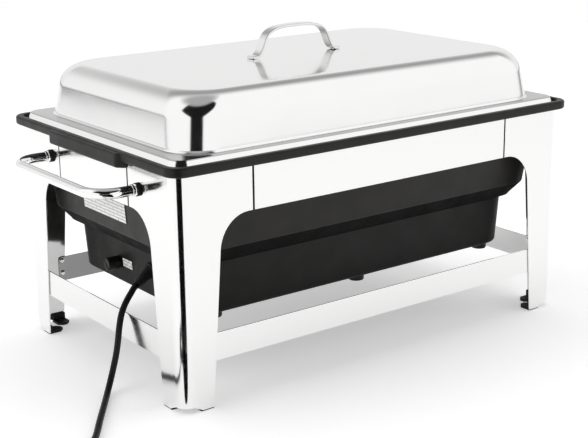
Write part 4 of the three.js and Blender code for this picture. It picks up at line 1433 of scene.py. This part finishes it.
@dataclass
class Lid:
    """The pressed lid and its strap handle."""

    finishes: Finishes
    sheet: float = 1.0 * MM
    band_corner: float = 17.0 * MM
    band_run: float = 4.0 * MM
    band_rise: float = 7.2 * MM
    flange_x: float = 15.0 * MM
    flange_y: float = 9.0 * MM
    base_corner: float = 40.0 * MM
    kerb_rise: float = 2.2 * MM
    kerb_run: float = 1.8 * MM
    wall_rise: float = 29.7 * MM
    wall_run: float = 4.6 * MM
    roll: float = 26.0 * MM
    crown: float = 1.0 * MM
    strap_width: float = 13.0 * MM
    strap_thickness: float = 3.0 * MM

    def rings(self) -> list[Ring]:
        """Lists the lid's outlines from its bottom edge to its crown."""
        low, high = corners("lid_shell")
        band = Ring(high.x, high.y, self.band_corner, low.z)
        flange = band.inset(self.band_run, self.band_rise)
        rings = [band, band.inset(self.band_run - 1.0 * MM, self.band_rise - 1.3 * MM),
                 band.inset(self.band_run - 0.4 * MM, self.band_rise - 0.35 * MM), flange.inset(0.7 * MM)]
        kerb = Ring(flange.half_x - self.flange_x + self.kerb_run,
                    flange.half_y - self.flange_y + self.kerb_run, self.base_corner + self.kerb_run, flange.z)
        rings += [kerb.inset(-1.2 * MM), kerb.inset(-0.2 * MM, 0.3 * MM), kerb.inset(0.9 * MM, 1.6 * MM)]
        base = Ring(kerb.half_x - self.kerb_run, kerb.half_y - self.kerb_run, self.base_corner,
                    flange.z + self.kerb_rise)
        slope = self.wall_run / self.wall_rise
        low_wall = 3 * MM
        rings += [base.inset(0.1 * MM, 0.3 * MM),
                  Ring(base.half_x - slope * low_wall, base.half_y - slope * low_wall, self.base_corner,
                       base.z + low_wall)]
        shoulder = Ring(base.half_x - self.wall_run, base.half_y - self.wall_run, self.base_corner,
                        base.z + self.wall_rise)
        lean = math.atan(slope)
        steps = 16
        end = math.radians(84)
        roll_x = self.roll * (1 - math.cos(math.radians(80))) / (math.cos(lean) - math.cos(end))
        roll_z = (high.z - self.crown - shoulder.z) / (math.sin(end) - math.sin(lean))
        for step in range(steps + 1):
            angle = lean + (end - lean) * step / steps
            run = roll_x * (math.cos(lean) - math.cos(angle))
            rise = roll_z * (math.sin(angle) - math.sin(lean))
            rings.append(Ring(shoulder.half_x - run, shoulder.half_y - run, self.base_corner,
                              shoulder.z + rise))
        edge = rings[-1]
        rise = high.z - edge.z
        for share in (0.93, 0.84, 0.72, 0.58, 0.42, 0.25, 0.08):
            depth = edge.half_y * share
            radius = min(self.base_corner * share + depth * (1 - share) / 0.7, 0.96 * depth)
            rings.append(Ring(edge.half_x * share, depth, radius, edge.z + rise * (1 - share ** 2)))
        return rings

    def shell(self) -> Object:
        """Presses the lid's shell.

        Returns:
            The shell.
        """
        piece = loft("lid_pressed", self.rings(), high=True, steps=16)
        modify(piece, "SOLIDIFY", thickness=self.sheet, offset=-1)
        smooth(piece, 30)
        return piece

    def dull_flange(self, shell: Object) -> None:
        """Gives the flat flange round the lid's foot a darker, rougher steel.

        Args:
            shell: the lid's shell.
        """
        shell.data.materials.append(self.finishes.flange)
        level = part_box("lid_shell")[0][2] + self.band_rise
        for face in shell.data.polygons:
            if abs(face.center.z - level) < 0.9 * MM and abs(face.normal.z) > 0.5:
                face.material_index = 1

    def strap(self) -> Object:
        """Bends the handle from flat strap with rounded edges.

        Returns:
            The handle.
        """
        low, high = corners("lid_handle")
        foot = low.z + self.strap_thickness / 2
        top = high.z - self.strap_thickness / 2
        side = [(63, 0), (58, 0), (54, 1.1), (50.8, 4.4), (48, 9.5), (45.8, 14.5), (43.6, 19), (40, 23.6),
                (34, 27.2), (25.5, 29.6), (13, 30.7)]
        stretch = (top - foot) / (31 * MM)
        edge = -self.strap_width / 2
        knots = [Vector((-x * MM, edge, foot + z * MM * stretch)) for x, z in side]
        knots += [Vector((0, edge, top))]
        knots += [Vector((-knot.x, edge, knot.z)) for knot in reversed(knots[:-1])]
        piece = drawn_line("lid_handle_strap", smooth_line(knots))
        bpy.ops.object.mode_set(mode="EDIT")
        bpy.ops.mesh.select_all(action="SELECT")
        bpy.ops.mesh.extrude_region_move(TRANSFORM_OT_translate={"value": (0, self.strap_width, 0)})
        bpy.ops.mesh.select_all(action="SELECT")
        bpy.ops.mesh.normals_make_consistent(inside=False)
        release()
        modify(piece, "SOLIDIFY", thickness=self.strap_thickness, offset=0)
        modify(piece, "BEVEL", width=1.1 * MM, segments=4, limit_method="ANGLE",
               angle_limit=math.radians(50))
        smooth(piece, 40)
        return piece

    def build(self) -> None:
        """Builds the lid, its handle and the screws inside."""
        self.dull_flange(dress(self.shell(), self.finishes.lid, Body.LID, "polished_steel", "lid_shell"))
        dress(self.strap(), self.finishes.strap, Body.LID, "polished_steel", "lid_handle")
        for side in ("left", "right"):
            node = f"lid_handle_screw_{side}"
            dress(refined(node, 0.2 * MM), self.finishes.tray, Body.LID, "strip_steel", node)


def main() -> None:
    """Builds the object, sub-assembly by sub-assembly."""
    logging.basicConfig(level=logging.INFO, format="%(message)s")
    studio = Studio()
    studio.camera()
    finishes = Finishes()
    MainsCord(finishes).build()
    SupportFrame(finishes).build()
    HeatedUnit(finishes).build()
    Tray("water_tank", Body.UNIT, flange_corner=13 * MM, mouth=Ring(257 * MM, 154 * MM, 38 * MM, 0),
         base=Ring(246 * MM, 132 * MM, 36 * MM, 0)).build(finishes)
    Tray("food_pan", Body.PAN, flange_corner=16 * MM, mouth=Ring(252 * MM, 147.5 * MM, 36 * MM, 0),
         base=Ring(241 * MM, 127.5 * MM, 34 * MM, 0)).build(finishes)
    Lid(finishes).build()
    studio.build()


if __name__ == "__main__":
    main()
